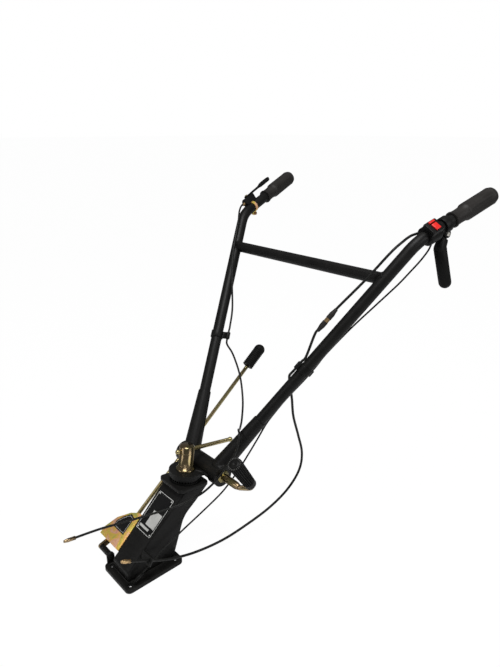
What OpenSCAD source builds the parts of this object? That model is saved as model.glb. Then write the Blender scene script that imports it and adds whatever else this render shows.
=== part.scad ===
// Handlebar and steering column of a hand tractor.
// +X points forward, +Y to the machine's left and +Z up.
// The origin is the middle of the base flange's underside.

/* [Column] */
// Length of the base flange, fore and aft
base_len = 150; // [140:1:180]
// Width of the base flange
base_w = 110; // [100:1:140]
// Thickness of the base flange
base_t = 10; // [6:1:14]
// Corner radius of the base flange
base_corner_r = 12; // [6:1:14]
// Diameter of the base bolt holes
base_hole_d = 11; // [8:0.5:13]
// Bolt hole centre to the flange's edge
base_hole_inset = 15; // [12:1:18]
// Height of the handlebar pivot above the flange's underside
pivot_h = 200; // [196:1:210]
// Distance of the handlebar pivot behind the flange's middle
pivot_reach = 180; // [174:1:186]
// Width of the column at its head
column_top_w = 80; // [72:1:84]
// Width of the column at its foot
column_foot_w = 66; // [60:1:70]
// Slope of the column's face below the horizontal
face_slope = 42; // [40:0.5:44]
// Gap from the column's toe to the flange's front edge
toe_gap = 15; // [10:1:20]
// Gap from the column's heel to the flange's rear edge
heel_gap = 12; // [8:1:18]
// Height of the knee in the column's rear edge
knee_h = 110; // [100:1:115]
// Distance of the knee behind the heel
knee_reach = 31; // [24:1:36]
// Fillet radius of the knee
knee_r = 60; // [40:1:70]
// Width of the rating plate
plate_w = 58; // [50:1:60]
// Length of the rating plate
plate_len = 98; // [80:1:104]
// Thickness of the rating plate
plate_t = 1; // [0.6:0.1:2]

/* [Swivel head] */
// Backward lean of the swivel pin
pin_lean = 7.4; // [5:0.2:9]
// Distance of the pin ahead of the handlebar pivot
pin_ahead = 51; // [49:1:56]
// Height of the nut's foot above the handlebar pivot
pin_rise = 6; // [3:1:9]
// Diameter of the swivel stud
stud_d = 16; // [12:1:18]
// Radius of the swivel head's disc
head_r = 39; // [37:1:42]
// Thickness of the swivel head's plate
head_t = 11; // [8:1:13]
// Thickness of each toothed ring
ring_t = 7; // [6:0.5:9]
// Outer radius of the toothed rings
ring_r = 36; // [32:1:36]
// Number of teeth round a toothed ring
ring_teeth = 36; // [24:4:48]
// Depth of the teeth
tooth_h = 2.4; // [1.5:0.1:3]
// Thickness of the seat plate on the column
seat_t = 8; // [6:1:10]
// Width of the seat plate
seat_w = 86; // [84:1:96]
// Diameter of the cross tube
cross_d = 45; // [40:1:46]
// Height of the swivel nut
nut_h = 62; // [56:1:70]
// Diameter of the swivel nut
nut_d = 35; // [30:1:38]
// Diameter of the swivel nut's flange
flange_d = 45; // [40:1:46]
// Diameter of the sliding bar
bar_d = 10; // [8:0.5:12]
// Reach of the sliding bar's long end from the pin
bar_reach = 124; // [100:1:130]

/* [Handlebar] */
// Diameter of the handlebar tubes
tube_d = 28; // [25:0.5:30]
// Wall of the handlebar tubes
tube_wall = 2; // [1.5:0.25:3]
// Half the spacing of the two tube lines at the pivot
tube_half_gap = 48.5; // [46:0.5:51]
// Rise of the tubes, seen from the side
tube_rise = 53.6; // [50:0.2:57]
// Outward splay of the tubes
tube_splay = 19.8; // [18:0.2:22]
// Pivot to the corner of the grip bend, along the tube
bend_at = 695; // [660:1:730]
// Radius of the grip bend
bend_r = 92; // [80:1:110]
// Rise of the grips
grip_rise = 20.7; // [16:0.2:25]
// Outward splay of the grips
grip_splay = 9.9; // [6:0.2:14]
// Corner of the bend to the grip's flange
grip_at = 110; // [106:1:120]
// Length of the grip
grip_len = 143; // [130:1:160]
// Diameter of the grip
grip_d = 41.5; // [38:0.5:44]
// Pivot to the cross bar, along the tube
cross_at = 589; // [560:1:610]
// Pivot to the cable clips, along the tube
clip_at = 320; // [300:1:340]

/* [Feet and clamp] */
// Diameter of the tapered sockets at their root
socket_d = 43; // [40:0.5:46]
// Diameter of the tapered sockets at their mouth
socket_mouth_d = 32; // [31:0.5:36]
// Pivot to the mouth of the socket
socket_end = 163; // [150:1:175]
// Length of the bushing round the clamp bolt
foot_t = 25; // [22:0.5:28]
// Diameter of the bushing round the clamp bolt
foot_w = 52; // [48:1:54]
// Diameter of the clamp bolt
bolt_d = 12; // [10:0.5:14]
// Diameter of the clamp lever's hub
hub_d = 18; // [16:0.5:20]
// Length of the clamp lever's hub
hub_len = 52; // [44:1:58]
// Diameter of the clamp lever's rod
rod_d = 12; // [10:0.5:13]
// Length of the clamp lever's grip
clamp_grip_len = 95; // [80:1:105]
// Diameter of the clamp grip at its root
clamp_grip_d = 27; // [24:0.5:30]
// Diameter of the clamp grip at its end
clamp_grip_end_d = 33; // [30:0.5:36]

/* [Gear lever] */
// Diameter of the gear lever's rod
gear_rod_d = 10; // [8:0.5:12]
// Diameter of the gear lever's grip
gear_grip_d = 30; // [26:1:34]
// Length of the gear lever's grip
gear_grip_len = 72; // [60:1:80]
// Thickness of the gate plate
gate_t = 3; // [2:0.5:4]
// Reach of the gate plate from the middle of the column
gate_reach = 117; // [106:1:124]
// Length of the gate plate along the column
gate_len = 93; // [84:1:96]

/* [Controls] */
// Length of the stop switch housing
switch_len = 34; // [28:1:38]
// Length of the clutch lever's sleeve
lever_len = 104; // [90:1:115]
// Diameter of the clutch lever's sleeve
lever_d = 29; // [24:0.5:30]
// Height of the throttle housing
drum_d = 22; // [20:1:26]
// Length of the throttle housing
drum_len = 44; // [40:1:50]
// Diameter of the clutch cable
clutch_cable_d = 6; // [5:0.5:7]
// Diameter of the throttle cable
throttle_cable_d = 5; // [4:0.5:6]
// Diameter of the stop wire
stop_wire_d = 4; // [3:0.5:5]

/* [Hidden] */
$fn = 64;

// Colours of the materials
black_paint = [0.07, 0.07, 0.08];
black_rubber = [0.11, 0.11, 0.11];
black_plastic = [0.09, 0.09, 0.09];
zinc = [0.74, 0.68, 0.48];
plate_grey = [0.2, 0.21, 0.22];
rocker_red = [0.8, 0.08, 0.06];
brass = [0.72, 0.5, 0.25];

// One overrun for every cut, and the clearances
over = 1;
slack = 0.4;
fit = 0.05;
seam = 0.3;

// Places along the column
pivot = [-pivot_reach, 0, pivot_h];
toe_x = base_len / 2 - toe_gap;
heel_x = -base_len / 2 + heel_gap;
stack = head_t + ring_t + slack + ring_t;
seat_lip = 5;
seat_corner_r = 10;
seat_front = head_r + seat_lip;
seat_back = head_r + seat_lip - seat_t / 2;
pin_foot = pivot + [pin_ahead, 0, pin_rise];
face_set = 28;
face_top = pin_place(face_set, -stack - seat_t);
taper_len = 140;
plate_drop = 29;
plate_corner_r = 2;

// Places of the swivel pieces, measured up the pin
nut_flange_t = 6;
nut_chamfer = 3;
stud_reach = 42;
bar_drop = 13.5;
bar_turn = 175;
bar_stub = 24;
bar_ball_d = 12.5;
arm_w = 66;
ring_bore_r = 14;
pivot_u = -pin_ahead * cos(pin_lean) - pin_rise * sin(pin_lean);
pivot_w = pin_ahead * sin(pin_lean) - pin_rise * cos(pin_lean);

// Directions and places of the handlebar, left side
tube_dir = aim(tube_rise, tube_splay);
grip_dir = aim(grip_rise, grip_splay);
tube_foot = pivot + [0, tube_half_gap, 0];
bend_point = tube_foot + bend_at * tube_dir;
bend_angle = acos(tube_dir * grip_dir);
bend_reach = bend_r * tan(bend_angle / 2);
tube_sides = 28;
cross_point = tube_foot + cross_at * tube_dir;
cross_len = 101.4;
foot_in = cross_len / 2 + seam;
foot_notch = 1.5;
foot_slot_w = 9;
foot_slot_at = 60;
socket_start = 10;
tube_start = 92;

// Clamp lever: washer, hub, cranked neck and ribbed grip
washer_d = 30;
washer_t = 2.5;
bolt_head_t = 8;
bolt_head_d = 20;
hub_y = cross_len / 2 + seam + foot_t + seam + washer_t;
clamp_stub = 4;
crank_back = 20;
crank_out = 160;
crank_rise = 2;
crank = pivot + [-crank_back, crank_out, crank_rise];
clamp_aim_shares = [0.545, 0.06, 0.836];
clamp_aim = unit(clamp_aim_shares);
clamp_grip_at = 18;
clamp_rod_len = 70;
crank_r = 11;
rod_sides = 16;
clamp_flutes = 22;
clamp_flute_r = 1.6;
clamp_disc_d = 24;
clamp_disc_t = 1.5;
clamp_dimple_d = 8;

// Grip outline as shares of its length and diameter
grip_flange_d = 38;
grip_flange_t = 4;
grip_neck_d = 35;
grip_neck_share = 0.27;
grip_dome = 10;

// Gear lever: places beside the column, from the handlebar pivot
gear_top_back = 300;
gear_top_out = 110;
gear_top_rise = 192;
gear_low_ahead = 144;
gear_low_drop = 145;
gear_pivot_inset = 19;
gear_pivot_out = 40;
gear_pivot_rise = 17.5;
gear_side = base_w / 2 + gear_pivot_out;
gear_top = pivot + [-gear_top_back, -gear_top_out, gear_top_rise];
gear_low = pivot + [gear_low_ahead, -gear_side, -gear_low_drop];
gear_pivot = [base_len / 2 - gear_pivot_inset, -gear_side, base_t + gear_pivot_rise];
gear_bury_share = 0.667;
gear_flat_t = 6;
gear_flat_w = 14;
gear_pin_d = 8;
gear_tab_t = 5;
gear_tab_w = 18;
gear_boss_d = 14;
gate_at = 99.5;
gate_shares = [[0.79, 0.98], [0.43, 0.77], [0.13, 0.42], [0, 0.14]];
gear_ribs = 11;
gear_rib_d = 3;

// Controls, along the grip from the corner of the bend
switch_at = 23;
switch_d = 44;
switch_box_h = 28;
switch_box_w = 32;
switch_turn = 35;
rocker_h = 4;
rocker_gap = 3;
rocker_w = 17;
rocker_len = 14;
strip_w = 5;
strip_len = 17;
bracket_at = 76;
bracket_len = 18;
bracket_wall = 5;
cable_seat = 26.5;
lever_drop = 21;
lever_arm = 25;
lever_set = 22;
lever_edge_r = 2.4;
lever_hub_d = 12;
lever_blade_t = 6;
lever_blade_w = 16;
lever_pin_d = 7;
drum_at = 24;
drum_t = 17;
drum_rise = 21;
drum_turn = 27;
throttle_blade_t = 4;
throttle_blade_w = 6;
throttle_hub_d = 14;
throttle_hub_at = 46;
paddle_at = 113;
paddle_len = 54;
paddle_w = 11;
band_at = 41;
band_len = 9;
band_wall = 2;
clip_len = 18;
clip_wall = 2.5;
clip_loop_d = 11;
clip_stand = 20;
clip_reach = 30;

// Inline adjuster of the clutch cable
boot_d = 13;
boot_len = 15;
ferrule_d = 10.5;
ferrule_len = 8;
stop_t = 5;
stop_w = 20;
stop_hole_d = 8;
clevis_len = 22;
clevis_d = 9;
connector_len = 24;
connector_d = 8;
end_taper_share = 0.667;

// Cable routes, from the handlebar pivot; the ends meet their fittings
cable_sides = 8;
clutch_route_upper = [
    [-462.7, 270.5, 552.7], [-429.5, 264.5, 540], [-398.4, 260, 535], [-366, 261, 526],
    [-338, 251, 504], [-291, 224, 446], [-242, 195, 390], [-233, 189.6, 377.8],
    [-206, 173.4, 341.2], [-197, 168, 329], [-181.3, 158.5, 276.6], [-173.5, 153.8, 266], [-165.7, 149, 255.4]
];
clutch_route_lower = [
    [-165.7, 149, 255.4], [-157.9, 144.3, 244.8], [-152.5, 139, 236], [-152.5, 129.5, 226], [-160, 123, 213],
    [-168, 125, 190], [-172, 127, 160], [-182, 124, 110], [-204, 121, 50],
    [-222, 120, -10], [-216, 118, -60], [-182, 112, -104], [-130, 102, -138],
    [-66, 88, -164], [4, 74, -182], [80, 62, -182], [150, 60, -160],
    [200, 60, -133], [246, 60, -107]
];
throttle_route_upper = [
    [-400.6, -296.4, 552.7], [-387.7, -294, 547.8], [-369, -282, 534], [-346, -262, 504], [-300, -230, 437],
    [-265, -195, 373], [-237, -162, 303], [-209.9, -140.7, 263.5],
    [-202, -136, 252.9], [-194.2, -131.2, 242.3]
];
throttle_route_lower = [
    [-194.2, -131.2, 242.3], [-186.4, -126.5, 231.7], [-183.5, -121.5, 222],
    [-193, -108, 194], [-186, -76, 148],
    [-158, -32, 104], [-118, 10, 82], [-88, 38, 80], [-68, 56, 90],
    [-52, 68, 101], [-40, 88, 104], [-28, 99, 86], [-16, 96, 56],
    [8, 88, 24], [33, 83, 1], [58, 70, -22], [92, 56, -36],
    [130, 44, -41], [176, 33, -40], [230, 25, -34], [284, 20, -25], [340, 20, -16]
];
stop_route_upper = [
    [-432.8, 292.2, 518.3], [-430, 291, 500], [-410, 289, 478], [-381, 280, 459],
    [-357, 265, 432], [-319, 242, 391], [-269, 212, 336], [-225, 185, 275],
    [-191, 165, 229], [-146, 137, 170], [-125, 124, 138]
];
stop_route_lower = [
    [-125, 124, 138], [-107, 112.9, 110.6], [-88, 102, 72], [-72, 90, 42],
    [-52, 78, 2], [-34, 66, -32], [-8, 57, -62], [44, 53, -88],
    [100, 50, -112], [150, 48, -135], [190, 48, -156], [212, 48, -168]
];

function unit(v) = v / norm(v);
function aim(rise, splay) = [-cos(rise) * cos(splay), sin(splay), sin(rise) * cos(splay)];
function pin_place(u, w) = pin_foot
    + [u * cos(pin_lean) - w * sin(pin_lean), 0, u * sin(pin_lean) + w * cos(pin_lean)];
function polar(v) = acos(unit(v)[2]);
function heading(v) = atan2(v[1], v[0]);

// Points of the arc that rounds the corner b between a and c
function rounded(a, b, c, r, n = 12) =
    let (
        p = unit(a - b),
        q = unit(c - b),
        half = acos(p * q) / 2,
        mid = b + unit(p + q) * r / sin(half),
        start = b + p * r / tan(half),
        stop = b + q * r / tan(half)
    )
    [for (i = [0:n]) mid + r * unit((start - mid) * (1 - i / n) + (stop - mid) * i / n)];

// Points of a smooth curve through the route's points
function smooth(p, n = 3) = concat(
    [for (i = [0:len(p) - 2], k = [0:n - 1])
        let (
            a = p[max(i - 1, 0)],
            b = p[i],
            c = p[i + 1],
            d = p[min(i + 2, len(p) - 1)],
            t = k / n
        )
        (2 * b + (c - a) * t + (2 * a - 5 * b + 4 * c - d) * t * t
            + (3 * b - a - 3 * c + d) * t * t * t) / 2],
    [p[len(p) - 1]]
);
function tangents(q) = [for (i = [0:len(q) - 1])
    unit(q[min(i + 1, len(q) - 1)] - q[max(i - 1, 0)])];
function carried(t) = [for (i = 0, u = unit(cross(t[0], [0.3, 0.5, 0.8])); i < len(t);
    i = i + 1, u = i < len(t) ? unit(u - (u * t[i]) * t[i]) : u) u];

// Round bar of diameter d with m sides along a line of points; ways are its end directions, if given
module rod(q, d, m = rod_sides, ways = []) {
    n = len(q) - 1;
    t = len(ways) == 0 ? tangents(q)
        : concat([ways[0]], [for (i = [1:n - 1]) tangents(q)[i]], [ways[1]]);
    u = carried(t);
    rings = [for (i = [0:len(q) - 1], k = [0:m - 1])
        q[i] + d / 2 * (cos(360 * k / m) * u[i] + sin(360 * k / m) * cross(t[i], u[i]))];
    sides = [for (i = [0:len(q) - 2], k = [0:m - 1])
        [i * m + k, (i + 1) * m + k, (i + 1) * m + (k + 1) % m, i * m + (k + 1) % m]];
    first = [for (k = [0:m - 1]) k];
    last = [for (k = [m - 1:-1:0]) (len(q) - 1) * m + k];
    polyhedron(rings, concat(sides, [first], [last]), convexity = 6);
}

// Cable along its route, starting a short lead past the route's first point
module cable(route, d, lead = 0) {
    n = len(route) - 1;
    first = unit(route[1] - route[0]);
    last = unit(route[n] - route[n - 1]);
    line = concat([pivot + route[0] + lead * first], [for (i = [1:n]) pivot + route[i]]);
    rod(smooth(line), d, cable_sides, [first, last]);
}

// Hollow tube along a line of points, with flat ends
module pipe(q, outer_d, inner_d, m) {
    n = len(q);
    t = tangents(q);
    u = carried(t);
    points = [for (d = [outer_d, inner_d], i = [0:n - 1], k = [0:m - 1])
        q[i] + d / 2 * (cos(360 * k / m) * u[i] + sin(360 * k / m) * cross(t[i], u[i]))];
    outside = [for (i = [0:n - 2], k = [0:m - 1])
        [i * m + k, (i + 1) * m + k, (i + 1) * m + (k + 1) % m, i * m + (k + 1) % m]];
    inside = [for (f = outside) [for (j = [3:-1:0]) n * m + f[j]]];
    start = [for (k = [0:m - 1]) [k, (k + 1) % m, n * m + (k + 1) % m, n * m + k]];
    e = (n - 1) * m;
    stop = [for (k = [0:m - 1]) [e + (k + 1) % m, e + k, n * m + e + k, n * m + e + (k + 1) % m]];
    polyhedron(points, concat(outside, inside, start, stop), convexity = 6);
}

// Frames of the pieces that the others sit on
module on_pin() translate(pin_foot) rotate([0, -pin_lean, 0]) children();
module on_face() translate(face_top) rotate([0, face_slope, 0]) children();
module along(p, v) translate(p) rotate([0, polar(v), heading(v)]) children();
module on_tube() along(tube_foot, tube_dir) children();
module on_grip() along(bend_point, grip_dir) children();
module on_right() mirror([0, 1, 0]) children();

// Flat plate with round corners, centred on the origin
module rounded_plate(l, w, t, r) {
    linear_extrude(t) {
        square([l - 2 * r, w], center = true);
        square([l, w - 2 * r], center = true);
        for (x = [-1, 1], y = [-1, 1]) translate([x * (l / 2 - r), y * (w / 2 - r)]) circle(r);
    }
}

// Ring with radial teeth on its upper face
module toothed_ring(r, bore_r, t) {
    m = 2 * ring_teeth;
    points = [for (k = [0:m - 1])
        let (
            a = 360 * k / m,
            top = t - (k % 2) * tooth_h
        )
        each [[bore_r * cos(a), bore_r * sin(a), 0], [r * cos(a), r * sin(a), 0],
            [r * cos(a), r * sin(a), top], [bore_r * cos(a), bore_r * sin(a), top]]];
    faces = [for (k = [0:m - 1], j = [0:3])
        let (
            a = 4 * k,
            b = 4 * ((k + 1) % m),
            i = (j + 1) % 4
        )
        each [[a + j, b + j, b + i], [a + j, b + i, a + i]]];
    polyhedron(points, faces, convexity = 8);
}

module base_flange() {
    color(black_paint) difference() {
        rounded_plate(base_len, base_w, base_t, base_corner_r);
        for (x = [-1, 1], y = [-1, 1])
            translate([x * (base_len / 2 - base_hole_inset), y * (base_w / 2 - base_hole_inset), -over])
                cylinder(d = base_hole_d, h = base_t + 2 * over);
    }
}

// Side view of the column: face, toe, heel and the knee below the seat
function flat(p) = [p[0], p[2]];
seat_tail = flat(pin_place(-seat_back, -stack - seat_t));
knee = [heel_x - knee_reach, knee_h];
heel = [heel_x, base_t];
toe_z = face_top[2] - (toe_x - face_top[0]) * tan(face_slope);

module column_side() {
    rotate([90, 0, 0]) linear_extrude(seat_w, center = true)
        polygon(concat([flat(face_top), [toe_x, toe_z], [toe_x, base_t], heel],
            rounded(heel, knee, seat_tail, knee_r), [seat_tail]));
}

// Front view of the column, tapering from the head to the foot
module column_front() {
    reach = base_len + pivot_reach;
    on_face() translate([0, 0, -reach]) linear_extrude(2 * reach)
        polygon([[-reach, -column_top_w / 2], [0, -column_top_w / 2], [taper_len, -column_foot_w / 2],
            [reach, -column_foot_w / 2], [reach, column_foot_w / 2], [taper_len, column_foot_w / 2],
            [0, column_top_w / 2], [-reach, column_top_w / 2]]);
}

module column_form() {
    intersection() {
        column_side();
        column_front();
    }
}

module column() {
    color(black_paint) column_form();
}

module name_plate() {
    color(plate_grey) on_face() translate([plate_drop + plate_len / 2, 0, 0])
        rounded_plate(plate_len, plate_w, plate_t, plate_corner_r);
}

module swivel_seat() {
    color(black_paint) on_pin() {
        translate([(seat_front - seat_back) / 2, 0, -stack - seat_t])
            rounded_plate(seat_front + seat_back, seat_w, seat_t, seat_corner_r);
        translate([0, 0, -stack]) cylinder(d = stud_d, h = stack + stud_reach);
    }
}

module seat_ring() {
    color(black_paint) on_pin() translate([0, 0, -stack]) toothed_ring(ring_r, ring_bore_r, ring_t);
}

module head_ring() {
    color(black_paint) on_pin() translate([0, 0, -head_t]) rotate([180, 0, 0])
        toothed_ring(ring_r, ring_bore_r, ring_t);
}

module swivel_head() {
    color(black_paint) difference() {
        on_pin() {
            translate([0, 0, -head_t]) cylinder(r = head_r, h = head_t);
            translate([pivot_u, -arm_w / 2, -head_t]) cube([-pivot_u, arm_w, head_t]);
            translate([pivot_u, cross_len / 2, pivot_w]) rotate([90, 0, 0])
                cylinder(d = cross_d, h = cross_len);
        }
        on_pin() translate([0, 0, -stack]) cylinder(d = stud_d + 2 * fit, h = stack + over);
        translate(pivot + [0, cross_len, 0]) rotate([90, 0, 0])
            cylinder(d = bolt_d + 2 * fit, h = 2 * cross_len);
        on_pin() translate([0, 0, -stack]) cylinder(r = ring_r + seam, h = stack - head_t);
    }
}

module swivel_nut() {
    color(zinc) on_pin() difference() {
        rotate_extrude() polygon([[0, 0], [flange_d / 2, 0], [flange_d / 2, nut_flange_t / 2],
            [flange_d / 2 - nut_flange_t / 2, nut_flange_t], [nut_d / 2, nut_flange_t],
            [nut_d / 2, nut_h - nut_chamfer], [nut_d / 2 - nut_chamfer, nut_h], [0, nut_h]]);
        translate([0, 0, -over]) cylinder(d = stud_d + 2 * fit, h = stud_reach + 2 * over);
        translate([0, 0, nut_h - bar_drop]) rotate([90, 0, bar_turn - 90])
            cylinder(d = bar_d + 2 * fit, h = 2 * nut_d, center = true);
    }
}

module swivel_bar() {
    color(zinc) on_pin() translate([0, 0, nut_h - bar_drop]) rotate([0, 90, bar_turn]) {
        translate([0, 0, -bar_stub]) cylinder(d = bar_d, h = bar_stub + bar_reach);
        for (z = [-bar_stub, bar_reach]) translate([0, 0, z]) sphere(d = bar_ball_d);
    }
}

module clamp_bolt() {
    outer = cross_len / 2 + seam + foot_t;
    color(zinc) translate(pivot) rotate([-90, 0, 0]) {
        translate([0, 0, -outer - seam - bolt_head_t]) cylinder(d = bolt_head_d, h = bolt_head_t, $fn = 6);
        translate([0, 0, -outer - seam]) cylinder(d = bolt_d, h = 2 * outer + 2 * seam + washer_t);
        translate([0, 0, outer + seam]) cylinder(d = washer_d, h = washer_t);
    }
}

module clamp_hub() {
    color(zinc) translate(pivot + [0, hub_y, 0]) rotate([-90, 0, 0]) cylinder(d = hub_d, h = hub_len);
}

module clamp_rod() {
    neck = pivot + [0, hub_y + hub_len, 0];
    stub = neck + [0, clamp_stub, 0];
    tip = crank + clamp_rod_len * clamp_aim;
    color(zinc) rod(concat([neck, stub], rounded(stub, crank, tip, crank_r), [tip]), rod_d,
        rod_sides, [[0, 1, 0], clamp_aim]);
}

module clamp_grip() {
    r0 = clamp_grip_d / 2;
    r1 = clamp_grip_end_d / 2;
    rim = clamp_grip_len - clamp_disc_t;
    color(black_plastic) along(crank + clamp_grip_at * clamp_aim, clamp_aim) difference() {
        rotate_extrude() polygon([[0, 0], [r0 - clamp_flute_r, 0], [r0, clamp_flute_r],
            [r1, rim - clamp_flute_r], [r1 - clamp_flute_r, rim], [clamp_disc_d / 2, rim],
            [clamp_disc_d / 2, clamp_grip_len], [clamp_dimple_d / 2, clamp_grip_len], [0, rim]]);
        translate([0, 0, -over]) cylinder(d = rod_d + 2 * fit, h = clamp_rod_len - clamp_grip_at + 2 * over);
        for (i = [0:clamp_flutes - 1]) rotate(i * 360 / clamp_flutes)
            translate([r0, 0, clamp_grip_at]) rotate([0, -atan((r0 - r1) / clamp_grip_len), 0])
                cylinder(r = clamp_flute_r, h = clamp_grip_len, $fn = 16);
    }
}

// Left foot: a bushing on the clamp bolt and a tapered socket with an open seam on its inner side
module foot() {
    color(black_paint) difference() {
        union() {
            translate(pivot + [0, foot_in, 0]) rotate([-90, 0, 0]) cylinder(d = foot_w, h = foot_t);
            on_tube() translate([0, 0, socket_start])
                cylinder(d1 = socket_d, d2 = socket_mouth_d, h = socket_end - socket_start);
        }
        translate(pivot) rotate([-90, 0, 0]) cylinder(d = bolt_d + 2 * fit, h = 2 * (foot_in + foot_t));
        translate(pivot) rotate([-90, 0, 0]) cylinder(d = cross_d + 2 * foot_notch, h = foot_in);
        translate(pivot + [0, foot_in + foot_t, 0]) rotate([-90, 0, 0])
            cylinder(d = washer_d + 2 * foot_notch, h = foot_t);
        on_tube() translate([0, 0, tube_start - seam]) cylinder(d = tube_d + 2 * seam, h = socket_end);
        on_tube() translate([-foot_slot_w / 2, 0, foot_slot_at]) cube([foot_slot_w, socket_d, socket_end]);
    }
}

module foot_left() foot();
module foot_right() on_right() foot();

// Left tube: straight leg, bend and the straight under the grip
function bend_points(n = 8) =
    let (
        across = unit(grip_dir - (grip_dir * tube_dir) * tube_dir),
        start = bend_point - bend_reach * tube_dir
    )
    [for (i = [0:n]) let (a = bend_angle * i / n)
        start + bend_r * (sin(a) * tube_dir + (1 - cos(a)) * across)];

module tube() {
    line = concat([tube_foot + tube_start * tube_dir], bend_points(),
        [bend_point + (grip_at + grip_len - grip_dome) * grip_dir]);
    color(black_paint) pipe(line, tube_d, tube_d - 2 * tube_wall, tube_sides);
}

module tube_left() tube();
module tube_right() on_right() tube();

module crossbar() {
    color(black_paint) difference() {
        translate(cross_point) rotate([90, 0, 0]) cylinder(d = tube_d, h = 2 * cross_point[1]);
        on_tube() cylinder(d = tube_d + 2 * fit, h = bend_at);
        on_right() on_tube() cylinder(d = tube_d + 2 * fit, h = bend_at);
    }
}

module grip() {
    r = grip_d / 2;
    neck = grip_len * grip_neck_share;
    color(black_rubber) on_grip() translate([0, 0, grip_at]) difference() {
        rotate_extrude() polygon(concat(
            [[0, 0], [grip_flange_d / 2, 0], [grip_flange_d / 2, grip_flange_t],
            [grip_neck_d / 2, grip_flange_t * 2], [grip_neck_d / 2, neck], [r, neck + r - grip_neck_d / 2]],
            [for (i = [0:6]) [r - grip_dome + grip_dome * cos(15 * i),
                grip_len - grip_dome + grip_dome * sin(15 * i)]],
            [[0, grip_len]]));
        translate([0, 0, -over])
            cylinder(d = tube_d + 2 * seam, h = grip_len - grip_dome + seam + over);
    }
}

module grip_left() grip();
module grip_right() on_right() grip();

// Stop switch: two half shells round the tube with a raised block on top
module switch_box() {
    color(black_plastic) on_grip() translate([0, 0, switch_at]) difference() {
        union() {
            cylinder(d = switch_d, h = switch_len);
            rotate([0, 0, switch_turn]) translate([-switch_box_h, -switch_box_w / 2, 0])
                cube([switch_box_h, switch_box_w, switch_len]);
        }
        translate([0, 0, -over]) cylinder(d = tube_d + 2 * seam, h = switch_len + 2 * over);
    }
}

// A broad red rocker and a narrow red strip beside it
module switch_rockers() {
    left = -(rocker_w + rocker_gap + strip_w) / 2;
    color(rocker_red) on_grip() rotate([0, 0, switch_turn])
        translate([-switch_box_h - rocker_h, left, switch_at + switch_len / 2]) {
            translate([0, 0, -rocker_len / 2]) cube([rocker_h, rocker_w, rocker_len]);
            translate([0, rocker_w + rocker_gap, -strip_len / 2]) cube([rocker_h, strip_w, strip_len]);
        }
}

module clutch_bracket() {
    d = tube_d + 2 * bracket_wall;
    color(black_plastic) on_grip() translate([0, 0, bracket_at]) difference() {
        union() {
            cylinder(d = d, h = bracket_len);
            translate([0, cable_seat, 0]) cylinder(d = clip_loop_d, h = bracket_len);
            translate([-clip_wall, 0, 0]) cube([2 * clip_wall, cable_seat, bracket_len]);
            for (y = [-1, 1])
                translate([0, y * (lever_blade_t + bracket_wall + slack) / 2 - bracket_wall / 2, 0]) {
                cube([lever_drop, bracket_wall, bracket_len]);
                translate([lever_drop, 0, bracket_len / 2]) rotate([-90, 0, 0])
                    cylinder(d = bracket_len, h = bracket_wall);
            }
        }
        translate([0, 0, -over]) cylinder(d = tube_d + 2 * seam, h = bracket_len + 2 * over);
        translate([lever_drop, 0, bracket_len / 2]) rotate([90, 0, 0])
            cylinder(d = lever_pin_d + 2 * fit, h = d, center = true);
        translate([0, -(lever_blade_t + slack) / 2, -over])
            cube([lever_drop + bracket_len, lever_blade_t + slack, bracket_len + 2 * over]);
    }
}

// The lever hangs from its pin: a kneed blade, then the sleeve
module on_lever() on_grip() translate([lever_drop, 0, bracket_at + bracket_len / 2]) children();

module clutch_lever() {
    pin = lever_blade_t + 2 * bracket_wall + 2 * slack;
    w = lever_blade_w / 2;
    hub = lever_hub_d / 2;
    tip = lever_arm + lever_len / 2;
    color(zinc) on_lever() rotate([90, 0, 0]) {
        cylinder(d = lever_hub_d, h = lever_blade_t, center = true);
        cylinder(d = lever_pin_d, h = pin, center = true);
        linear_extrude(lever_blade_t, center = true) polygon([[0, hub], [lever_arm, w - lever_set],
            [tip, w - lever_set], [tip, -w - lever_set], [lever_arm, -w - lever_set], [0, -hub]]);
    }
}

module clutch_sleeve() {
    r = lever_d / 2;
    color(black_rubber) on_lever() translate([lever_arm, 0, -lever_set]) rotate([0, 90, 0]) difference() {
        rotate_extrude() polygon(concat([[0, 0], [r - lever_edge_r, 0], [r, lever_edge_r]],
            [for (i = [0:6]) [r * cos(15 * i), lever_len - r + r * sin(15 * i)]]));
        translate([-lever_blade_w / 2 - fit, -lever_blade_t / 2 - fit, -over])
            cube([lever_blade_w + 2 * fit, lever_blade_t + 2 * fit, lever_len / 2 + fit + over]);
    }
}

// Thumb throttle on the right grip: housing with a round front, paddle lever and clamp band
module on_drum() on_right() on_grip() rotate([0, 0, drum_turn]) translate([-drum_rise, 0, 0]) children();

module throttle_drum() {
    r = drum_d / 2;
    color(black_plastic) difference() {
        on_drum() {
            translate([0, 0, drum_at + r]) rotate([90, 0, 0]) cylinder(r = r, h = drum_t, center = true);
            translate([-r, -drum_t / 2, drum_at + r]) cube([drum_d, drum_t, drum_len - r]);
        }
        on_right() on_grip() cylinder(d = tube_d + 2 * seam, h = grip_at);
        on_right() on_grip() translate([0, 0, band_at - seam])
            cylinder(d = tube_d + 2 * band_wall + 2 * seam, h = band_len + 2 * seam);
    }
}

module throttle_lever() {
    color(black_plastic) on_drum() translate([-drum_d / 2 - seam - throttle_blade_t, 0, 0]) {
        translate([0, 0, throttle_hub_at]) rotate([0, 90, 0])
            cylinder(d = throttle_hub_d, h = throttle_blade_t);
        translate([0, -throttle_blade_w / 2, throttle_hub_at])
            cube([throttle_blade_t, throttle_blade_w, paddle_at - throttle_hub_at + over]);
        translate([0, -paddle_w / 2, paddle_at])
            cube([throttle_blade_t, paddle_w, paddle_len - paddle_w / 2]);
        translate([0, 0, paddle_at + paddle_len - paddle_w / 2]) rotate([0, 90, 0])
            cylinder(d = paddle_w, h = throttle_blade_t);
    }
}

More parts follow.
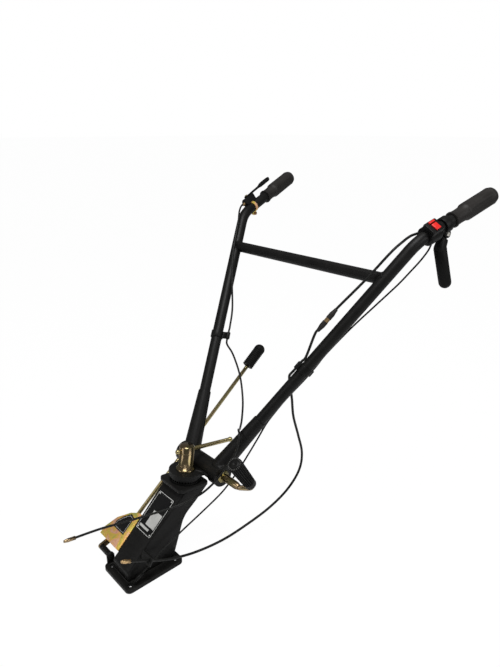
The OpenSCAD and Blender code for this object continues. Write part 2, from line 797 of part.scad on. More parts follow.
module throttle_band() {
    d = tube_d + 2 * band_wall;
    color(zinc) on_right() on_grip() translate([0, 0, band_at]) difference() {
        union() {
            cylinder(d = d, h = band_len);
            translate([0, -band_wall, 0]) cube([d / 2 + band_len, 2 * band_wall, band_len]);
        }
        translate([0, 0, -over]) cylinder(d = tube_d + 2 * seam, h = band_len + 2 * over);
    }
}

// Cable clip round a tube, with a small loop that stands off to one side
module clip(loop_d, stand, turn) {
    color(black_plastic) on_tube() translate([0, 0, clip_at - clip_len / 2]) rotate([0, 0, turn])
    difference() {
        union() {
            cylinder(d = tube_d + 2 * clip_wall, h = clip_len);
            translate([0, -clip_wall, 0]) cube([stand, 2 * clip_wall, clip_len]);
            translate([stand, 0, 0]) cylinder(d = clip_loop_d, h = clip_len);
        }
        translate([0, 0, -over]) cylinder(d = tube_d + 2 * seam, h = clip_len + 2 * over);
        translate([stand, 0, -over]) cylinder(d = loop_d + 2 * slack, h = clip_len + 2 * over);
    }
}

module clip_left() clip(clutch_cable_d, clip_stand, 180);
module clip_right() on_right() clip(throttle_cable_d, clip_reach, 90);

// Half width of the column at a place down its face
function face_half(s) = column_top_w / 2 - (column_top_w - column_foot_w) / 2 * min(s / taper_len, 1);

// Shift plate beside the column, with a rounded outer corner
module gate_plate() {
    end = gate_at + gate_len;
    turn = max(gate_at, min(taper_len, end));
    reach = gate_reach - column_foot_w / 2;
    color(zinc) on_face() translate([0, 0, -gate_t]) linear_extrude(gate_t) polygon(concat(
        [[gate_at, -face_half(gate_at)], [turn, -face_half(turn)],
        [end, -face_half(end)], [end, -gate_reach]],
        [for (p = gate_shares) [gate_at + p[0] * gate_len, -column_foot_w / 2 - p[1] * reach]]));
}

module gear_rod() {
    way = unit(gear_low - gear_top);
    top = gear_top + gear_grip_len * (1 - gear_bury_share) * way;
    color(zinc) along(top, way) cylinder(d = gear_rod_d, h = norm(gear_low - top));
}

// Flat arm below the gate, from the rod's foot to the pivot
module gear_arm() {
    reach = norm(gear_pivot - gear_low);
    color(zinc) difference() {
        union() {
            along(gear_low, gear_pivot - gear_low) translate([-gear_flat_w / 2, -gear_flat_t / 2, 0])
                cube([gear_flat_w, gear_flat_t, reach]);
            translate(gear_pivot) rotate([90, 0, 0])
                cylinder(d = gear_flat_w, h = gear_flat_t, center = true);
        }
        translate(gear_pivot) rotate([90, 0, 0])
            cylinder(d = gear_pin_d + 2 * fit, h = gear_flat_w, center = true);
        along(gear_low, gear_low - gear_top) translate([0, 0, -reach])
            cylinder(r = gear_flat_w, h = reach + seam);
    }
}

module gear_grip() {
    r = gear_grip_d / 2;
    pitch = (gear_grip_len - r) / gear_ribs;
    d = unit(gear_top - gear_low);
    color(black_rubber) along(gear_top - gear_grip_len * d, d) difference() {
        rotate_extrude() polygon(concat([[0, 0]],
            [for (i = [0:gear_ribs - 1], k = [0:3])
                [r - (k == 0 || k == 3 ? gear_rib_d / 2 : 0), (i + k / 4) * pitch]],
            [for (i = [0:6]) [r * cos(15 * i), gear_grip_len - r + r * sin(15 * i)]]));
        translate([0, 0, -over])
            cylinder(d = gear_rod_d + 2 * fit, h = gear_grip_len * gear_bury_share + over);
    }
}

// Tab on the base flange with the boss and the pin of the gear lever
module gear_bracket() {
    inner = gear_pivot[1] + gear_flat_t / 2 + slack;
    pin = inner - gear_flat_t - 3 * slack;
    color(black_paint) {
        translate([gear_pivot[0], -base_w / 2, gear_pivot[2]]) rotate([-90, 0, 0])
            cylinder(d = gear_tab_w, h = gear_tab_t);
        translate([gear_pivot[0] - gear_tab_w / 2, -base_w / 2, base_t])
            cube([gear_tab_w, gear_tab_t, gear_pivot[2] - base_t]);
        translate([gear_pivot[0], inner, gear_pivot[2]]) rotate([-90, 0, 0])
            cylinder(d = gear_boss_d, h = -base_w / 2 - inner + gear_tab_t / 2);
        translate([gear_pivot[0], pin, gear_pivot[2]]) rotate([-90, 0, 0])
            cylinder(d = gear_pin_d, h = inner - pin + over);
    }
}

// Tab on the column's left side that holds the clutch cable
function route_end(route) = pivot + route[len(route) - 1];
function route_way(route) = unit(route[len(route) - 1] - route[len(route) - 2]);
stop_place = pivot + clutch_route_lower[len(clutch_route_lower) - 2];

module cable_stop() {
    way = route_way(clutch_route_lower);
    color(black_paint) difference() {
        translate([stop_place[0], 0, stop_place[2]]) rotate([0, polar(way), 0])
            translate([-stop_w / 2, 0, -stop_t / 2]) cube([stop_w, stop_place[1] + stop_w / 2, stop_t]);
        along(stop_place, way) cylinder(d = stop_hole_d, h = 2 * stop_w, center = true);
        column_form();
        column_front();
    }
}

module cable_adjuster() {
    p = pivot + (clutch_route_upper[7] + clutch_route_upper[8]) / 2;
    way = unit(clutch_route_upper[8] - clutch_route_upper[7]);
    half = boot_len + ferrule_len / 2;
    color(brass) along(p, way) difference() {
        translate([0, 0, -half]) rotate_extrude() polygon([
            [0, 0], [boot_d / 3, 0], [boot_d / 2, boot_len / 3],
            [boot_d / 2, boot_len], [ferrule_d / 2, boot_len], [ferrule_d / 2, boot_len + ferrule_len],
            [boot_d / 2, boot_len + ferrule_len], [boot_d / 2, 2 * half - boot_len / 3],
            [boot_d / 3, 2 * half], [0, 2 * half]]);
        cylinder(d = clutch_cable_d + 2 * slack, h = 3 * half, center = true);
    }
}

module clutch_cable_upper() color(black_plastic) cable(clutch_route_upper, clutch_cable_d);
module clutch_cable_lower() color(black_plastic) cable(clutch_route_lower, clutch_cable_d, seam);
module throttle_cable_upper() color(black_plastic) cable(throttle_route_upper, throttle_cable_d);
module throttle_cable_lower() color(black_plastic) cable(throttle_route_lower, throttle_cable_d, seam);
module stop_wire_upper() color(black_plastic) cable(stop_route_upper, stop_wire_d);
module stop_wire_lower() color(black_plastic) cable(stop_route_lower, stop_wire_d, seam);

// End fitting that closes a cable, turned about the cable's own line
module end_fitting(route, d, l) {
    along(route_end(route), route_way(route))
        rotate_extrude() polygon([[0, 0], [d / 2, 0], [d / 2, l * end_taper_share], [d / 3, l], [0, l]]);
}

module clutch_clevis() color(brass) end_fitting(clutch_route_lower, clevis_d, clevis_len);
module throttle_end() color(zinc) end_fitting(throttle_route_lower, connector_d, connector_len);
module wire_connector() color(black_plastic) end_fitting(stop_route_lower, connector_d, connector_len);

base_flange();
column();
name_plate();
swivel_seat();
seat_ring();
gate_plate();
gear_rod();
gear_arm();
gear_grip();
gear_bracket();
cable_stop();
swivel_head();
head_ring();
swivel_nut();
swivel_bar();
clamp_bolt();
clamp_hub();
clamp_rod();
clamp_grip();
foot_left();
foot_right();
tube_left();
tube_right();
crossbar();
grip_left();
grip_right();
switch_box();
switch_rockers();
clutch_bracket();
clutch_lever();
clutch_sleeve();
throttle_drum();
throttle_lever();
throttle_band();
clip_left();
clip_right();
cable_adjuster();
clutch_cable_upper();
clutch_cable_lower();
clutch_clevis();
throttle_cable_upper();
throttle_cable_lower();
throttle_end();
stop_wire_upper();
stop_wire_lower();
wire_connector();
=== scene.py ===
import math

import bmesh
import bpy
from mathutils import Matrix, Vector


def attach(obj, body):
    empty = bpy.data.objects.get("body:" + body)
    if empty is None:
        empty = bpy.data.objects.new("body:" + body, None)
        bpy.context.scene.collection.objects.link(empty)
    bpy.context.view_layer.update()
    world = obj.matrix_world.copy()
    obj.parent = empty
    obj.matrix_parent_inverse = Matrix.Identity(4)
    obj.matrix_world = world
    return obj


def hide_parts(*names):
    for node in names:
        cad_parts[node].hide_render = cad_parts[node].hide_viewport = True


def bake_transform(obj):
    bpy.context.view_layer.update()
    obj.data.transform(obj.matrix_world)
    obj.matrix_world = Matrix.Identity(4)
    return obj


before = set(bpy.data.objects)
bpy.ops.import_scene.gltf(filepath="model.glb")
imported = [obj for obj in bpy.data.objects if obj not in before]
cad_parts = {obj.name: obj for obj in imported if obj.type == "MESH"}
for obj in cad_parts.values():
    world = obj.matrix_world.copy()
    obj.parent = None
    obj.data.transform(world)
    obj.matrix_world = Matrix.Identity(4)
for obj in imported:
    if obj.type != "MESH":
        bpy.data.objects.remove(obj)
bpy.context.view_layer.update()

# ---- Studio ----
# A pale floor that the mounting flange stands on, a white surround and large soft lamps:
# one overhead, one on the left of the handles and a weak one ahead of them.


def linked(name, data):
    """A new object in the scene."""
    made = bpy.data.objects.new(name, data)
    bpy.context.scene.collection.objects.link(made)
    return made


def aimed(place, way):
    """Where a camera or lamp stands and the way it looks."""
    return Matrix.Translation(place) @ way.to_track_quat("-Z", "Y").to_matrix().to_4x4()


def seen_rays(tree):
    """1 for rays that come straight from the camera."""
    return tree.nodes.new("ShaderNodeLightPath").outputs["Is Camera Ray"]


def added(tree, *kinds):
    """New nodes of a tree, one of each kind."""
    return [tree.nodes.new(kind) for kind in kinds]


def joined(tree, *pairs):
    """Links outputs to inputs."""
    for a, b in pairs:
        tree.links.new(a, b)


camera_place = Vector((0.5085, 0.9279, 0.9592))
camera_way = Vector((-0.6303, -0.6941, -0.3477))
camera = linked("camera", bpy.data.cameras.new("camera"))
camera.data.sensor_fit = "HORIZONTAL"
camera.data.sensor_width = 36.0
camera.data.lens = 39.98
camera.matrix_world = aimed(camera_place, camera_way)
bpy.context.scene.camera = camera
bpy.context.scene.view_settings.view_transform = "Standard"

surround_light, surround_seen = 0.2, 1.0
world = bpy.data.worlds.new("white_surround")
bpy.context.scene.world = world
world.use_nodes = True
sky = world.node_tree.nodes["Background"]
sky.inputs["Color"].default_value = (1.0, 1.0, 1.0, 1.0)
level = world.node_tree.nodes.new("ShaderNodeMapRange")
level.inputs["To Min"].default_value = surround_light
level.inputs["To Max"].default_value = surround_seen
joined(world.node_tree, (seen_rays(world.node_tree), level.inputs["Value"]),
       (level.outputs["Result"], sky.inputs["Strength"]))

floor_half = 60.0
floor_mesh = bpy.data.meshes.new("floor")
floor_mesh.from_pydata(
    [(x * floor_half, y * floor_half, 0) for x, y in ((-1, -1), (1, -1), (1, 1), (-1, 1))], [], [(0, 1, 2, 3)])
floor = linked("floor", floor_mesh)
paper_grey, paper_glow, glow_share = (0.92, 0.92, 0.92, 1.0), 1.012, 0.97
floor_paper = bpy.data.materials.new("floor_paper")
floor_paper.use_nodes = True
paper = floor_paper.node_tree
paper.nodes.clear()
paper_matt, paper_white, paper_share, paper_mix, paper_out = added(
    paper, "ShaderNodeBsdfDiffuse", "ShaderNodeEmission", "ShaderNodeMath", "ShaderNodeMixShader",
    "ShaderNodeOutputMaterial")
paper_matt.inputs["Color"].default_value = paper_grey
paper_white.inputs["Strength"].default_value = paper_glow
paper_share.operation = "MULTIPLY"
paper_share.inputs[1].default_value = glow_share
joined(paper, (seen_rays(paper), paper_share.inputs[0]), (paper_share.outputs[0], paper_mix.inputs[0]),
       (paper_matt.outputs[0], paper_mix.inputs[1]), (paper_white.outputs[0], paper_mix.inputs[2]),
       (paper_mix.outputs[0], paper_out.inputs["Surface"]))
floor_mesh.materials.append(floor_paper)

part_middle = Vector((-0.25, 0.05, 0.45))


def soft_lamp(name, place, size, power):
    """A square lamp aimed at the middle of the part."""
    lamp = linked(name, bpy.data.lights.new(name, "AREA"))
    lamp.data.size = size
    lamp.data.energy = power
    lamp.matrix_world = aimed(place, part_middle - Vector(place))


soft_lamp("lamp_over", (0.1, 0.4, 2.6), size=1.1, power=44.0)
soft_lamp("lamp_left", (-0.9, 2.2, 1.5), size=1.2, power=14.0)
soft_lamp("lamp_front", (1.9, -0.5, 1.4), size=1.0, power=7.0)

# ---- Column and base flange ----
# Welded steel box that leans back from the machine's bed to the swivel, on a bolted flange.
# Both are powder coated satin black; a weld runs round the foot and under the seat plate.

MM = 0.001


def fed(tree, socket, value):
    """Sets a socket to a number or a colour, or links it to an output."""
    if isinstance(value, (int, float)):
        socket.default_value = value
    elif isinstance(value, tuple):
        socket.default_value = (*value, 1.0)
    else:
        tree.links.new(value, socket)


def shader_group(name, inputs, outputs):
    """A shared effect with its inputs as (label, kind, value) and its outputs as (label, kind)."""
    tree = bpy.data.node_groups.new(name, "ShaderNodeTree")
    for label, kind, value in inputs:
        made = tree.interface.new_socket(label, in_out="INPUT", socket_type="NodeSocket" + kind)
        if value is not None:
            made.default_value = value
    for label, kind in outputs:
        tree.interface.new_socket(label, in_out="OUTPUT", socket_type="NodeSocket" + kind)
    return tree, tree.nodes.new("NodeGroupInput").outputs, tree.nodes.new("NodeGroupOutput").inputs


def noise(tree, vector, scale, detail, warp=0.0):
    made = tree.nodes.new("ShaderNodeTexNoise")
    for label, value in (("Vector", vector), ("Scale", scale), ("Detail", detail), ("Distortion", warp)):
        fed(tree, made.inputs[label], value)
    return made.outputs[0]


def ranged(tree, value, low, high, to_low=0.0, to_high=1.0):
    made = tree.nodes.new("ShaderNodeMapRange")
    for label, number in (("Value", value), ("From Min", low), ("From Max", high),
                          ("To Min", to_low), ("To Max", to_high)):
        fed(tree, made.inputs[label], number)
    return made.outputs["Result"]


def sums(tree, kind, a, b):
    made = tree.nodes.new("ShaderNodeMath")
    made.operation = kind
    for socket, value in zip(made.inputs, (a, b)):
        fed(tree, socket, value)
    return made.outputs[0]


def blended(tree, share, a, b):
    """Two colours mixed by a share; the mix node keeps its colour sockets at 6 and 7 and its result at 2."""
    made = tree.nodes.new("ShaderNodeMix")
    made.data_type = "RGBA"
    for spot, value in ((0, share), (6, a), (7, b)):
        fed(tree, made.inputs[spot], value)
    return made.outputs[2]


# Dust that settles on faces that look up, broken by a soft noise
dust_color = (0.16, 0.15, 0.13)
dust_film, dust_in, dust_out = shader_group(
    "dust_film",
    [("Vector", "Vector", None), ("Color", "Color", None), ("Roughness", "Float", 0.5), ("Amount", "Float", 0.2)],
    [("Color", "Color"), ("Roughness", "Float")])
dust_up = dust_film.nodes.new("ShaderNodeSeparateXYZ")
dust_film.links.new(dust_film.nodes.new("ShaderNodeNewGeometry").outputs["Normal"], dust_up.inputs[0])
dust_lie = ranged(dust_film, dust_up.outputs[2], low=0.1, high=1.0)
dust_noise = noise(dust_film, dust_in["Vector"], scale=38.0, detail=5.0)
dust_spots = ranged(dust_film, dust_noise, low=0.35, high=0.7, to_low=0.25)
dust_mask = sums(dust_film, "MULTIPLY", sums(dust_film, "MULTIPLY", dust_lie, dust_spots), dust_in["Amount"])
dust_dull = sums(dust_film, "MULTIPLY", dust_mask, 0.5)
joined(dust_film,
       (blended(dust_film, dust_mask, dust_in["Color"], dust_color), dust_out["Color"]),
       (sums(dust_film, "ADD", dust_in["Roughness"], dust_dull), dust_out["Roughness"]))

# Fine relief of a coated or moulded skin, with a slow change of tone
skin_grain, skin_in, skin_out = shader_group(
    "skin_grain", [("Vector", "Vector", None), ("Scale", "Float", 900.0)],
    [("Height", "Float"), ("Tone", "Float")])
skin_clouds = noise(skin_grain, skin_in["Vector"], scale=24.0, detail=6.0, warp=0.6)
joined(skin_grain,
       (noise(skin_grain, skin_in["Vector"], skin_in["Scale"], detail=2.0), skin_out["Height"]),
       (ranged(skin_grain, skin_clouds, low=0.3, high=0.7), skin_out["Tone"]))


def placed_group(tree, group, **values):
    """Puts a shared effect into a material and gives back its outputs."""
    made = tree.nodes.new("ShaderNodeGroup")
    made.node_tree = group
    for label, value in values.items():
        fed(tree, made.inputs[label], value)
    return made.outputs


def new_finish(name):
    """A material with its tree, its shader and its texture coordinates."""
    material = bpy.data.materials.new(name)
    material.use_nodes = True
    tree = material.node_tree
    return material, tree, tree.nodes["Principled BSDF"], tree.nodes.new("ShaderNodeTexCoord").outputs


def relief(tree, shader, height, depth, strength):
    bump = tree.nodes.new("ShaderNodeBump")
    bump.inputs["Distance"].default_value = depth
    bump.inputs["Strength"].default_value = strength
    joined(tree, (height, bump.inputs["Height"]), (bump.outputs[0], shader.inputs["Normal"]))


def dark_skin(name, deep, worn, rough, grain, depth, dust, gloss):
    """A coated, moulded or rubber surface: tone, roughness and relief from one grain."""
    material, tree, shader, where = new_finish(name)
    skin = placed_group(tree, skin_grain, Vector=where["Object"], Scale=grain)
    film = placed_group(tree, dust_film, Vector=where["Object"], Amount=dust,
                        Color=blended(tree, skin["Tone"], deep, worn),
                        Roughness=ranged(tree, skin["Tone"], 0.0, 1.0, *rough))
    joined(tree, (film["Color"], shader.inputs["Base Color"]), (film["Roughness"], shader.inputs["Roughness"]))
    relief(tree, shader, skin["Height"], depth, strength=0.35)
    shader.inputs["Specular IOR Level"].default_value = gloss
    return material


satin_black = dark_skin("satin_black", (0.0034, 0.0034, 0.0033), (0.006, 0.0058, 0.0054),
                        rough=(0.40, 0.50), grain=1100.0, depth=0.0002, dust=0.02, gloss=0.18)


def dress(material, *nodes):
    """Gives CAD nodes that stay in view their finish."""
    for name in nodes:
        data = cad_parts[name].data
        data.materials.clear()
        data.materials.append(material)


def settled(name, mesh, material, body, slot, *nodes):
    """Puts a finished mesh on its body and lets it stand for its CAD nodes."""
    mesh.materials.clear()
    mesh.materials.append(material)
    piece = linked(name, mesh)
    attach(piece, body)
    if nodes:
        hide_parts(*nodes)
    return piece


def shaded(mesh, crease):
    """Shades a mesh smooth, with sharp edges above an angle in degrees."""
    mesh.shade_smooth()
    mesh.set_sharp_from_angle(angle=math.radians(crease))
    return mesh


def smooth_copy(node, material, body, slot, crease=35.0, edge=0.0, steps=3, corner=50.0):
    """A copy of a CAD node, smooth shaded; edges sharper than the corner angle are rounded by edge in mm."""
    same_spot, same_plane = 1e-5, math.radians(1.0)
    bm = bmesh.new()
    bm.from_mesh(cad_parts[node].data)
    bmesh.ops.remove_doubles(bm, verts=bm.verts, dist=same_spot)
    if edge:
        bmesh.ops.dissolve_limit(bm, angle_limit=same_plane, verts=bm.verts, edges=bm.edges)
        sharp = [e for e in bm.edges if len(e.link_faces) == 2 and e.calc_face_angle() > math.radians(corner)]
        bmesh.ops.bevel(bm, geom=sharp, offset=edge * MM, segments=steps, profile=0.5, affect="EDGES",
                        clamp_overlap=True)
    mesh = bpy.data.meshes.new(node + "_skin")
    bm.to_mesh(mesh)
    bm.free()
    return settled(node + "_skin", shaded(mesh, crease), material, body, slot, node)


def repeat_tree(name, *inputs):
    """A Geometry Nodes tree that takes a line or points, values as (label, kind) and a finish."""
    tree = bpy.data.node_groups.new(name, "GeometryNodeTree")
    for label, kind in (("Geometry", "Geometry"), *inputs, ("Finish", "Material")):
        tree.interface.new_socket(label, in_out="INPUT", socket_type="NodeSocket" + kind)
    tree.interface.new_socket("Geometry", in_out="OUTPUT", socket_type="NodeSocketGeometry")
    return tree, tree.nodes.new("NodeGroupInput").outputs


def ball_on_points(tree, given, segments, rings):
    """Balls on points, realized, smooth shaded and coated; gives back the node that sets them."""
    ball, put, real, smooth, coat, out = added(
        tree, "GeometryNodeMeshUVSphere", "GeometryNodeInstanceOnPoints", "GeometryNodeRealizeInstances",
        "GeometryNodeSetShadeSmooth", "GeometryNodeSetMaterial", "NodeGroupOutput")
    ball.inputs["Segments"].default_value = segments
    ball.inputs["Rings"].default_value = rings
    joined(tree,
           (given["Radius"], ball.inputs["Radius"]), (ball.outputs["Mesh"], put.inputs["Instance"]),
           (put.outputs["Instances"], real.inputs["Geometry"]), (real.outputs["Geometry"], smooth.inputs["Geometry"]),
           (smooth.outputs["Geometry"], coat.inputs["Geometry"]), (given["Finish"], coat.inputs["Material"]),
           (coat.outputs["Geometry"], out.inputs["Geometry"]))
    return put.inputs


# Weld ripples: close rows of beads along a line of points
bead_row, row_in = repeat_tree("bead_row", ("Spacing", "Float"), ("Radius", "Float"))
row_line, row_even = added(bead_row, "GeometryNodeMeshToCurve", "GeometryNodeResampleCurve")
row_even.mode = "LENGTH"
row_put = ball_on_points(bead_row, row_in, segments=12, rings=8)
joined(bead_row,
       (row_in["Geometry"], row_line.inputs["Mesh"]), (row_line.outputs["Curve"], row_even.inputs["Curve"]),
       (row_in["Spacing"], row_even.inputs["Length"]), (row_even.outputs["Curve"], row_put["Points"]))


def grown(name, points, edges, tree, values, body):
    """Runs a node tree on a line or set of points and keeps the result as a plain mesh."""
    mesh = bpy.data.meshes.new(name + "_line")
    mesh.from_pydata([tuple(p) for p in points], edges, [])
    piece = linked(name, mesh)
    nodes = piece.modifiers.new("rows", "NODES")
    keys = {item.name: item.identifier for item in tree.interface.items_tree if item.in_out == "INPUT"}
    nodes.node_group = tree
    for label, value in values.items():
        nodes[keys[label]] = value
    bpy.context.view_layer.update()
    graph = bpy.context.evaluated_depsgraph_get()
    solid = bpy.data.meshes.new_from_object(
        piece.evaluated_get(graph), preserve_all_data_layers=True, depsgraph=graph)
    piece.modifiers.clear()
    piece.data = solid
    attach(piece, body)
    return piece


def weld(name, points, body, radius=1.5, closed=True):
    """A painted weld along a line of points, its ripples a little more than a radius apart."""
    pitch = radius * 1.1
    edges = [(i, i + 1) for i in range(len(points) - 1)] + ([(len(points) - 1, 0)] if closed else [])
    grown(name, points, edges, bead_row, {"Spacing": pitch * MM, "Radius": radius * MM, "Finish": satin_black},
          body)


smooth_copy("column", satin_black, "column", "black_paint", edge=4.0, corner=20.0)
smooth_copy("base_flange", satin_black, "column", "black_paint", edge=0.8, steps=2)
smooth_copy("gear_bracket", satin_black, "column", "black_paint")
smooth_copy("cable_stop", satin_black, "column", "black_paint", edge=0.6, steps=2)
foot_half, toe_x, heel_x, flange_top = 33.6 * MM, 60.6 * MM, -63.6 * MM, 10.4 * MM
weld("weld_column_foot",
     [Vector((x, y, flange_top)) for x, y in ((toe_x, -foot_half), (toe_x, foot_half),
                                              (heel_x, foot_half), (heel_x, -foot_half))],
     "column", radius=2.0)

# ---- Rating plate and shift plate ----
# A thin printed plate riveted to the column's face, left blank, with a pale border and two pale fields.
# The zinc plated shift plate stands beside the column and carries a blank dark label with a pale line.

face_lean = math.radians(42.0)
face_top = Vector((-96.93, 0.0, 176.48)) * MM
face_down = Vector((math.cos(face_lean), 0.0, -math.sin(face_lean)))
face_out = Vector((math.sin(face_lean), 0.0, math.cos(face_lean)))


def on_face(down, across, out):
    """A point on the column's sloping face, in mm from its top edge."""
    return face_top + (face_down * down + Vector((0.0, across, 0.0)) + face_out * out) * MM


def meshed(bm, name):
    """Turns a built form into a mesh with its normals outward."""
    bmesh.ops.recalc_face_normals(bm, faces=bm.faces)
    mesh = bpy.data.meshes.new(name)
    bm.to_mesh(mesh)
    bm.free()
    return mesh


def flat_sheet(name, outline, low, high, material, hole=None):
    """A thin plate on the column's face from its outline as (down, across), with an optional opening."""
    bm = bmesh.new()
    loops = [outline] + ([hole] if hole else [])
    for height in (low, high):
        rims = []
        for loop in loops:
            verts = [bm.verts.new(on_face(down, across, height)) for down, across in loop]
            rims += [bm.edges.new((verts[i], verts[(i + 1) % len(verts)])) for i in range(len(verts))]
        bmesh.ops.triangle_fill(bm, use_beauty=True, edges=rims)
    bm.verts.ensure_lookup_table()
    count = sum(len(loop) for loop in loops)
    start = 0
    for loop in loops:
        for i in range(len(loop)):
            a, b = start + i, start + (i + 1) % len(loop)
            bm.faces.new([bm.verts[spot] for spot in (a, b, count + b, count + a)])
        start += len(loop)
    return settled(name, meshed(bm, name), material, "column", "plate_face")


def rounded_outline(down0, down1, half, r, steps=5):
    corners = ((down1 - r, half - r, 0), (down0 + r, half - r, 90),
               (down0 + r, -half + r, 180), (down1 - r, -half + r, 270))
    turns = [(d, a, math.radians(t + 90 * k / steps)) for d, a, t in corners for k in range(steps + 1)]
    return [(d + r * math.cos(turn), a + r * math.sin(turn)) for d, a, turn in turns]


def oblong(down0, down1, across0, across1):
    return [(down0, across0), (down0, across1), (down1, across1), (down1, across0)]


plate_black = dark_skin("plate_black", (0.0040, 0.0040, 0.0042), (0.0065, 0.0065, 0.0068),
                        rough=(0.36, 0.46), grain=1600.0, depth=0.0001, dust=0.015, gloss=0.16)
plate_pale = dark_skin("plate_pale", (0.52, 0.52, 0.50), (0.60, 0.60, 0.58),
                       rough=(0.35, 0.45), grain=1600.0, depth=0.0001, dust=0.05, gloss=0.4)
plate_field = dark_skin("plate_field", (0.46, 0.46, 0.445), (0.56, 0.56, 0.54),
                        rough=(0.30, 0.42), grain=900.0, depth=0.0001, dust=0.05, gloss=0.4)
print_low, border_high, field_high = 1.02, 1.14, 1.10
dress(plate_black, "name_plate")
flat_sheet("plate_border", rounded_outline(30.2, 125.8, 27.8, 1.6), print_low, border_high, plate_pale,
           hole=rounded_outline(31.4, 124.6, 26.6, 1.2))
flat_sheet("plate_data_field", oblong(72, 108, -8, 24), print_low, field_high, plate_field)
flat_sheet("plate_foot_field", oblong(112.5, 118, -22, 12), print_low, field_high, plate_field)

# Domed heads of rivets on a set of points
dome_set, dome_in = repeat_tree("dome_set", ("Radius", "Float"), ("Lean", "Vector"), ("Form", "Vector"))
dome_spots = dome_set.nodes.new("GeometryNodeMeshToPoints")
dome_put = ball_on_points(dome_set, dome_in, segments=24, rings=12)
joined(dome_set,
       (dome_in["Geometry"], dome_spots.inputs["Mesh"]), (dome_spots.outputs["Points"], dome_put["Points"]),
       (dome_in["Lean"], dome_put["Rotation"]), (dome_in["Form"], dome_put["Scale"]))

rivet_downs, rivet_across, rivet_out = (34.6, 121.4), (-23.4, 23.4), 1.1
grown("plate_rivets", [on_face(d, a, rivet_out) for d in rivet_downs for a in rivet_across], [], dome_set,
      {"Radius": 2.0 * MM, "Lean": (0.0, face_lean, 0.0), "Form": (1.0, 1.0, 0.5), "Finish": plate_pale},
      "column")


def tint_ramp(tree, value, *stops):
    """A colour ramp over a value, its stops as (place, tint)."""
    ramp = tree.nodes.new("ShaderNodeValToRGB")
    elements = ramp.color_ramp.elements
    for spot, (place, tint) in enumerate((stops[0], stops[-1])):
        elements[spot].position = place
        elements[spot].color = (*tint, 1.0)
    for place, tint in stops[1:-1]:
        elements.new(place).color = (*tint, 1.0)
    tree.links.new(value, ramp.inputs[0])
    return ramp.outputs[0]


# Yellow passivated zinc: gold that drifts to olive and rose
zinc_bloom, bloom_in, bloom_out = shader_group(
    "zinc_bloom", [("Vector", "Vector", None), ("Scale", "Float", 40.0)],
    [("Color", "Color"), ("Roughness", "Float")])
bloom_drift = noise(zinc_bloom, bloom_in["Vector"], bloom_in["Scale"], detail=2.0, warp=0.8)
bloom_dull = noise(zinc_bloom, bloom_in["Vector"], scale=130.0, detail=4.0)
joined(zinc_bloom,
       (tint_ramp(zinc_bloom, bloom_drift, (0.28, (0.19, 0.175, 0.075)), (0.42, (0.30, 0.235, 0.11)),
                  (0.52, (0.36, 0.255, 0.155)), (0.62, (0.24, 0.215, 0.10)), (0.72, (0.30, 0.165, 0.115))),
        bloom_out["Color"]),
       (ranged(zinc_bloom, bloom_dull, 0.3, 0.7, to_low=0.17, to_high=0.30), bloom_out["Roughness"]))


def scuffed(tree, shader, where, grain):
    """Faint marks on bare metal."""
    marks = placed_group(tree, skin_grain, Vector=where["Object"], Scale=grain)
    relief(tree, shader, marks["Height"], depth=0.0002, strength=0.2)


yellow_zinc, zinc_tree, zinc_shader, zinc_where = new_finish("yellow_zinc")
zinc_tint = placed_group(zinc_tree, zinc_bloom, Vector=zinc_where["Object"], Scale=20.0)
joined(zinc_tree, (zinc_tint["Color"], zinc_shader.inputs["Base Color"]),
       (zinc_tint["Roughness"], zinc_shader.inputs["Roughness"]))
zinc_shader.inputs["Metallic"].default_value = 1.0
scuffed(zinc_tree, zinc_shader, zinc_where, grain=600.0)

# The shift plate's passivation is thicker and shows broad orange, rose and green clouds
cloud_zinc, cloud_tree, cloud_shader, cloud_where = new_finish("cloud_zinc")
cloud = noise(cloud_tree, cloud_where["Object"], scale=26.0, detail=2.0, warp=1.6)
cloud_tint = tint_ramp(cloud_tree, cloud, (0.30, (0.55, 0.56, 0.15)), (0.42, (0.88, 0.64, 0.12)),
                       (0.50, (0.95, 0.52, 0.15)), (0.60, (0.90, 0.54, 0.34)), (0.70, (0.80, 0.36, 0.24)))
joined(cloud_tree, (cloud_tint, cloud_shader.inputs["Base Color"]),
       (ranged(cloud_tree, cloud, 0.3, 0.7, to_low=0.30, to_high=0.46), cloud_shader.inputs["Roughness"]))
cloud_shader.inputs["Metallic"].default_value = 0.65
scuffed(cloud_tree, cloud_shader, cloud_where, grain=500.0)

label_outline = [(116, -48), (112.5, -62), (128, -80), (146, -93), (160, -93), (160, -48)]
line_outer = [(119, -51), (116.6, -62), (129.5, -77), (147, -90), (157, -90), (157, -51)]
line_inner = [(119.7, -51.7), (117.4, -61.9), (129.9, -76.4), (147.2, -89.3), (156.3, -89.3), (156.3, -51.7)]
smooth_copy("gate_plate", cloud_zinc, "column", "zinc_plate", edge=0.5, steps=2)
flat_sheet("gate_label", label_outline, 0.03, 0.25, plate_black)
flat_sheet("gate_label_line", line_outer, 0.26, 0.34, plate_pale, hole=line_inner)

# ---- Swivel ----
# Seat plate with the stud, two rings with radial teeth and the head plate with the cross tube.
# The long nut and its sliding bar are yellow zinc plated and pull the teeth together.

smooth_copy("swivel_seat", satin_black, "column", "black_paint", edge=0.8, steps=2)
smooth_copy("swivel_head", satin_black, "head", "black_paint")
dress(satin_black, "seat_ring", "head_ring")


def tinted_zinc(name, scale, tint, share, metallic, dulling=1.0):
    """Yellow zinc drawn towards another tint by a share."""
    material, tree, shader, where = new_finish(name)
    bloom = placed_group(tree, zinc_bloom, Vector=where["Object"], Scale=scale)
    joined(tree, (blended(tree, share, bloom["Color"], tint), shader.inputs["Base Color"]),
           (sums(tree, "MULTIPLY", bloom["Roughness"], dulling), shader.inputs["Roughness"]))
    shader.inputs["Metallic"].default_value = metallic
    return material


